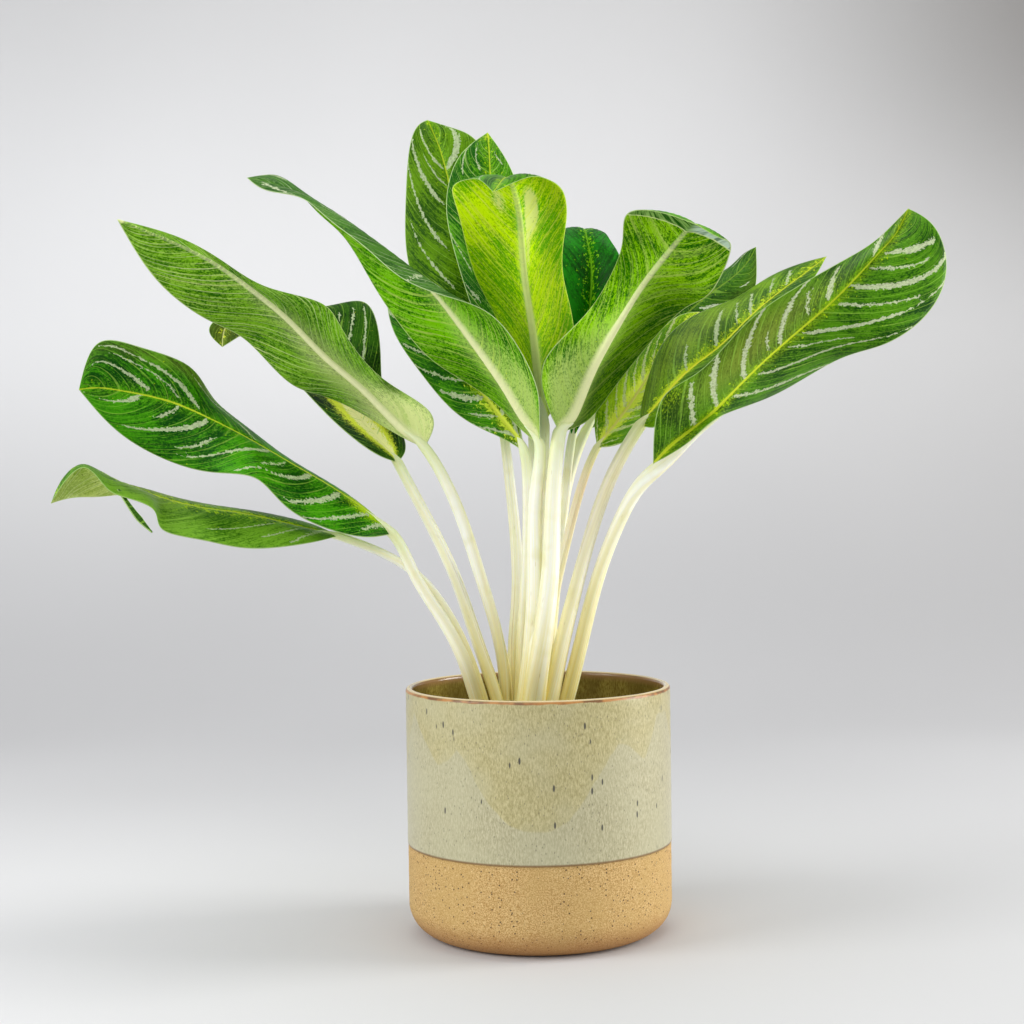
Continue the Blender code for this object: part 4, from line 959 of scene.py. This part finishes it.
def blade_sheet(leaf):
    """The blade's upper side as a grid, base to tip and left edge to right, and its readings:
    place along (0 to 1), place across (-1 to 1), and lengths in millimetres along the midrib,
    out from the midrib and out to the edge."""
    rib, *edges = rib_and_edges(leaf, np.linspace(0, len(leaf["rib"]) - 1, BLADE_ROWS))
    along = unit(np.gradient(rib, axis=0))
    shares = np.linspace(0, 1, HALF_COLUMNS + 1) ** 1.35
    halves = [half_blade(rib, edge, along, side, shares) for edge, side in zip(edges, (-1, 1))]
    outs = [length_so_far(half, 1) / MM for half in halves]
    across = joined(-shares[None], shares[None]) + np.zeros((BLADE_ROWS, 1))
    run = length_so_far(rib, 0)[:, None] / MM + 0 * across
    reach = np.where(across < 0, outs[0][:, -1:], outs[1][:, -1:])
    return joined(*halves), run / run.max(), across, run, joined(*outs), reach


def vein_place(across, run, reach):
    """A number that is the same all along one side vein: the place where it leaves the midrib, in
    millimetres. Veins leave at about 60 degrees and bend toward the tip as they near the edge. The
    second number is what a difference of the first is divided by to give a distance across the veins."""
    usual = reach.mean() * 0.6 + reach * 0.4
    share = np.abs(across)
    slope = usual * (0.55 + 2.0 * share) / np.maximum(reach, 0.5)
    return run - usual * (0.55 * share + share ** 2), np.sqrt(1 + slope ** 2)


def sheet_normals(grid):
    """Normals of the upper side, from the grid's two directions."""
    normal = np.cross(np.gradient(grid, axis=1), np.gradient(grid, axis=0))
    normal[0], normal[-1] = normal[1], normal[-2]
    normal[:, 0], normal[:, -1] = normal[:, 1], normal[:, -2]
    return unit(normal)


def picked_streaks(picks, grid, across, run, vein):
    """Each streak as the share of the midrib where it starts, its side (-1 left, 1 right), its drift,
    where it begins and ends between midrib and edge, and half its width in millimetres. Every pick is
    moved to the nearest seen point of the blade, where the photo's pixel is sideways or upward
    distance over depth, times the lens. Then start + drift * share^2 is fitted to the picks' veins."""
    away = grid - CAMERA_PLACE
    sideways, upward, depth = (away @ np.array(way) for way in (camera_right, camera_up, forward))
    pixels = FRAME_PIXELS / 2 + LENS_PIXELS * together(sideways / depth, -upward / depth)
    penalty = (np.sum(sheet_normals(grid) * away, axis=-1) > 0) * HIDDEN_PENALTY
    streaks = []
    for half, *points in picks:
        hits = [np.argmin(np.linalg.norm(pixels - point, axis=-1) + penalty) for point in points]
        share = across.ravel()[hits]
        bends = np.concatenate([together(1.0, share ** 2), [[0, DRIFT_PULL]]])
        start, drift = np.linalg.lstsq(bends, np.append(vein.ravel()[hits] / run.max(), 0), rcond=None)[0]
        side = np.sign(share.sum())
        share = np.abs(share)
        streaks.append((start, side, drift, share.min(), share.max() + 0.05, half * PIXEL_HALF_WIDTH))
    return streaks


def common_streaks(name):
    """Streaks of a leaf that has none of its own in the list: evenly spaced with a little chance on
    each side, every other one broad."""
    pick = np.random.default_rng(sum(map(ord, name)))
    return [(place, side, 0, pick.uniform(0.03, 0.1), pick.uniform(0.7, 1.05),
             pick.uniform(0.3, 0.6) if i % 2 else pick.uniform(0.9, 1.4)) for side in (-1, 1)
            for i, place in enumerate(np.arange(-0.12, 0.74, 0.098) + pick.uniform(-0.02, 0.02, 9))]


def streak_reading(streaks, across, run, reach, vein, steep):
    """Three numbers for the nearest streak, in millimetres: how far to one side of its middle line a
    point lies, half its ragged width there, and half the width of the thin line down its middle. A
    streak follows a vein, starts thin, is widest a third of the way out, then thins."""
    share = np.abs(across)
    nearest = np.full(across.shape, FAR_OFF)
    second = nearest
    reading = together(nearest, nearest, nearest)
    for start, side, drift, near, far, half in streaks:
        swell = np.clip((share - near) / 0.10, 0.35, 1) * np.clip((far - share) / 0.35, 0.25, 1)
        past = np.maximum(0, np.maximum(near - share, share - far)) * reach
        away = (vein - (start + drift * share ** 2) * run.max()) / steep
        distance = np.where(across * side > 0, np.abs(away) + past, FAR_OFF)
        there = together(away, half * swell - past, 0.16 + 0.22 * half - past)
        second = np.minimum(second, np.maximum(distance, nearest))
        reading = np.where((distance < nearest)[..., None], there, reading)
        nearest = np.minimum(nearest, distance)
    blank = (nearest > STREAK_ROOM) | ((second - nearest < STREAK_ROOM) & (nearest > STREAK_CORE))
    reading[..., 1:] = np.where(blank[..., None], -10.0, reading[..., 1:])
    return reading


def patch_strengths(name, t, across):
    """Soft round patches of yellow, cream, painted shade and dark spots, and olive painted sheen, added up
    as four channels.
    """
    total = np.zeros((*t.shape, 4))
    for place, over, reach_t, reach_s, *strength in PATCHES.get(name, ()):
        spot = np.exp(-((t - place) / reach_t) ** 2 - ((across - over) / reach_s) ** 2)
        total[..., :len(strength)] += spot[..., None] * strength
    return np.clip(total, 0, 1)


def blade_piece(name, leaf):
    """A closed blade: the upper sheet with a groove over the midrib and low swells between veins,
    the lower sheet under it with the midrib standing out, joined along the edge."""
    grid, t, across, run, out, reach = blade_sheet(leaf)
    vein, steep = vein_place(across, run, reach)
    fade = np.clip(out / 3, 0, 1) * np.clip((reach - out) / 4, 0, 1)
    quilt = QUILT * np.cos(2 * math.pi * vein / VEIN_SPACING) * fade
    groove = GROOVE * (1 - 0.7 * t) * np.exp(-(out / 1.1) ** 2) * np.clip(reach / 6, 0, 1)
    rib_width = 0.9 + 1.5 * (1 - t)
    ridge = RIB_RISE * (1 - t) ** 1.2 * np.exp(-(out / rib_width) ** 2) * np.clip(reach / 5, 0, 1)
    thick = BLADE_THICKNESS * np.clip(0.45 + (reach - out) / 2.0, 0.45, 1)
    rows, columns = t.shape
    ids = np.zeros((rows, columns), int)
    ids[1:-1] = 1 + np.arange((rows - 2) * columns).reshape(rows - 2, columns)
    ids[-1] = 1 + (rows - 2) * columns
    total = ids[-1, 0] + 1

    def points_of(values):
        """Values of the grid for each point of one side: the first and last rows are single points."""
        middle = columns // 2
        inner = values[1:-1].reshape(-1, *values.shape[2:])
        return np.concatenate([values[:1, middle], inner, values[-1:, middle]])

    quads = together(ids[:-1, :-1], ids[:-1, 1:], ids[1:, 1:], ids[1:, :-1])
    body = quads[1:-1].reshape(-1, 4)
    caps = np.concatenate([quads[0][:, [0, 2, 3]], quads[-1][:, :3]])
    border = np.concatenate([ids[:, -1], ids[::-1, 0][1:]])
    rim = together(border[:-1], border[:-1] + total, border[1:] + total, border[1:])
    normal = sheet_normals(grid)
    upper = grid + normal * (quilt - groove)[..., None]
    lower = grid + normal * (quilt - thick - ridge)[..., None]
    piece = mesh_piece(name + "_blade", np.concatenate([points_of(upper), points_of(lower)]),
                       body, caps, body[:, ::-1] + total, caps[:, ::-1] + total, rim)
    one_side = len(body) + len(caps)
    side = np.zeros(len(piece.data.polygons), int)
    side[one_side:2 * one_side] = 1
    piece.data.polygons.foreach_set("material_index", side)
    streaks = (picked_streaks(STREAK_PICKS[name], grid, across, run, vein) if name in STREAK_PICKS
               else common_streaks(name))
    readings = {"blade": together(vein / 10, out / 10 * np.sign(across + 1e-9), t),
                "streak": streak_reading(streaks, across, run, reach, vein, steep),
                "from_rib": out, "from_edge": reach - out}
    for key, values in readings.items():
        values = points_of(values)
        add_reading(piece, key, np.concatenate([values, values]))
    patches = points_of(patch_strengths(name, t, across))
    on_lower = name in SEEN_BELOW
    add_reading(piece, "patches", np.concatenate([patches * (not on_lower), patches * on_lower]))
    return piece


def leaf_skin(piece, name, look, below, seed):
    """One side's finish: fine mottling, thin vein lines, the streaks with ragged edges, flecks near
    the midrib, the midrib's own line, an edge rolled over at the tip with a painted highlight, and a pale
    margin."""
    skin = Finish(name)
    blade = skin.read("blade", "Vector")
    place = skin.mapped(blade, Location=(seed * 3.7, seed * 1.9, 0))
    vein = skin.axes(place)[0]
    _, sideways, t = skin.axes(blade)
    from_rib = skin.read("from_rib")
    yellow, cream, painted_shade_and_spots = skin.axes(skin.read("patches", "Color"))
    fur = skin.noise((9, 7, 1), place, rough=0.7)
    mottle = skin.noise(820.0, detail=3.0, rough=0.8) * 0.65 + fur * 0.65 - 0.15
    drawn = skin.noise((3, 0.6, 1), place, detail=3.0, rough=0.6)
    tooth = skin.noise(760.0, rough=0.6)
    wander = skin.noise(170.0, detail=1.0)
    blend = skin.noise(34.0) * 0.55 + mottle * look["mottling"] + drawn * 0.45 - look["mottling"] / 2
    green = blend.shades(0.37, 0.63, look["deep"], look["light"])
    if below:
        halo = mottle * 1.2 + from_rib / (t.step(0.9, 0.0) * look["halo"] + 3.0) - 0.6
        halo = halo.step(1.0, 0.1) * t.step(0.8, 0.1) * mottle.step(0.34, 0.62, 0.35, 1.1)
        green = green.under(halo, look["pale"])
    else:
        green = green.under(from_rib.step(7.0, 0.0) * mottle.step(0.4, 0.6, 0.1, 0.75), look["near"])
    green = green.under((mottle * 1.1 + yellow - 0.85).step(0.0, 0.35), look["fleck"])
    green = green.under((mottle * 1.1 + cream - 0.85).step(0.0, 0.35), look["pale" if below else "rib"])
    if not below:
        # Painted sheen: an olive tone laid on the upper side where it would reflect its surroundings.
        green = green.under(skin.read("patches", "Alpha") * blend.step(0.3, 0.7, 0.4, 0.9), (134, 146, 54))
    spacing = VEIN_SPACING / 10 * look["gap"]
    bent = wander * 0.08 + skin.noise((1.3, 0.12, 1), place, rough=0.6) * 1.1 + vein
    broken = skin.noise((2.3, 0.6, 1), place, detail=1.0).step(0.34, 0.5)
    veins = bent.zigzag(spacing / 2).step(0.055, 0.015) * broken
    if below:
        bands = bent.zigzag(spacing).step(0.26, 0.0) * mottle.step(0.40, 0.6, 0.0, 0.5)
        green = green.under(bands, look["streak"])
    fine_veins = bent.zigzag(spacing / 6).step(0.035, 0.010) * mottle.step(0.42, 0.62, 0.0, 0.22)
    green = green.under(fine_veins, look["line"])
    green = green.under(veins * look["veins"], look["line"])
    flecks = skin.noise(430.0, detail=3.0, rough=0.7) + from_rib.step(14.0, 0.0) * (0.16 * look["flecks"])
    green = green.under(flecks.step(0.69, 0.73) * 0.85, look["fleck"])
    green = green.under(skin.noise(620.0).step(0.34, 0.26) * 0.5, (20, 62, 0))
    aside, half_width, half_line = skin.axes(skin.read("streak", "Vector"))
    aside = abs(skin.noise((1.2, 3.6, 1), place) * 3.0 + aside - 1.5)
    body = aside - half_width + (skin.noise(640.0, rough=0.7) * 6.0 - 3.2)
    middle_line = tooth * 0.5 + aside - half_line
    in_streak = body.step(0.15, -0.15).larger(middle_line.step(0.35, 0.15)) * look["streaks"]
    faded = tuple(0.82 * part for part in look["streak"])
    green = green.under(in_streak, mottle.shades(0.35, 0.6, faded, look["streak"]))
    # Painted shade, with the real dark spots of one leaf, laid over the green.
    green = green.under(painted_shade_and_spots * 0.6, (14, 50, 0))
    rib_width = (1.0 - t) ** 1.5 * look["rib_base"] + look["rib_tip"]
    rib = ((from_rib + tooth * 0.8 - 0.4) / rib_width).step(look["rib_outer"], look["rib_inner"])
    green = green.under(rib * t.step(1.0, 0.3, look["rib_end"], 0.92), look["rib"])
    if "rolled" in look:
        past_roll = wander * 0.006 + t - look["rolled"]
        turned = drawn.shades(0.42, 0.6, (26, 88, 6), (150, 192, 100))
        # Painted highlight: the turned flap is painted whitish toward its right, as a gloss reflection.
        flap_highlight = sideways.step(0.1, -0.6) * drawn.step(0.36, 0.5, 0.25, 0.95)
        turned = turned.under(flap_highlight, (204, 228, 206))
        green = green.under(past_roll.step(-0.0015, 0.0015), turned)
        green = green.under(abs(past_roll).step(0.0035, 0.0015, 0.0, 0.85), (220, 236, 160))
    green = green.under(skin.read("from_edge").step(0.55, 0.25) * 0.8, look["edge"])
    relief = skin.bump(mottle, 0.00016, 0.4)
    relief = skin.bump(veins, 0.00025, look["vein_relief"], Normal=relief)
    rough = mottle.step(0.3, 0.7, look["rough"] - 0.03, look["rough"] + 0.06)
    skin.done(piece, green, rough, relief, Specular_IOR_Level=look["shine"])


for seed, (name, leaf) in enumerate(LEAVES.items()):
    blade = blade_piece(name, leaf)
    leaf_skin(blade, name + "_upper", {**UPPER, **OTHER_UPPER.get(name, {})}, False, seed)
    leaf_skin(blade, name + "_lower", {**UNDER, **OTHER_UNDER.get(name, {})}, True, seed + UNDER_SEED)
    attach(blade, "root")
    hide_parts(name)

# A narrow strip is torn loose from the near edge of the lowest leaf. It is leaf, as thin as the blade
# and curled a little, and it hangs by its upper end.
STRIP_LINE = [(-223, -62, 254), (-217, -66, 246), (-211, -67, 238), (-204, -68, 231)]
STRIP_HALF_WIDTHS = (0.9, 1.4, 2.0, 0.4)
STRIP_FACING = (0.6, -0.6, 0.5)
STRIP_ROWS = 40
STRIP_COLUMNS = 9
STRIP_CURL = 0.25
STRIP_SEED = 90
STRIP_LOOK = {**UPPER, "deep": (22, 62, 8), "light": (58, 104, 22)}


def strip_sheet():
    """A ribbon: its centre line is a spline, it is widest in the middle, and its edges curl up a little."""
    where = np.linspace(0, len(STRIP_LINE) - 1, STRIP_ROWS)
    centre = spline(STRIP_LINE, where)[:, None]
    along = np.gradient(centre[:, 0], axis=0)
    half = np.interp(where, range(len(STRIP_LINE)), STRIP_HALF_WIDTHS)[:, None, None] * MM
    across = unit(np.cross(unit(along), STRIP_FACING))
    facing = unit(np.cross(across, along))
    share = np.linspace(-1, 1, STRIP_COLUMNS)[:, None]
    return centre + across[:, None] * half * share + facing[:, None] * half * STRIP_CURL * share ** 2


strip = mesh_piece("torn_strip", strip_sheet(), grid_faces(STRIP_ROWS, STRIP_COLUMNS))
strip_wall = strip.modifiers.new("leaf_thickness", "SOLIDIFY")
strip_wall.thickness = BLADE_THICKNESS
strip_wall.offset = 0.0
strip_run = np.linspace(0, 4.0, STRIP_ROWS)[:, None]
strip_out = np.linspace(-0.4, 0.4, STRIP_COLUMNS) + 0 * strip_run
add_reading(strip, "blade", together(strip_run, strip_out, 0.5))
add_reading(strip, "streak", together(0 * strip_out + 20, -10, -10))
add_reading(strip, "from_rib", 0 * strip_out + 15)
add_reading(strip, "from_edge", 4.0 - np.abs(strip_out) * 10)
add_reading(strip, "patches", together(0 * strip_out, 0, 0, 0))
leaf_skin(strip, "torn_strip_skin", STRIP_LOOK, False, STRIP_SEED)
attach(strip, "root")
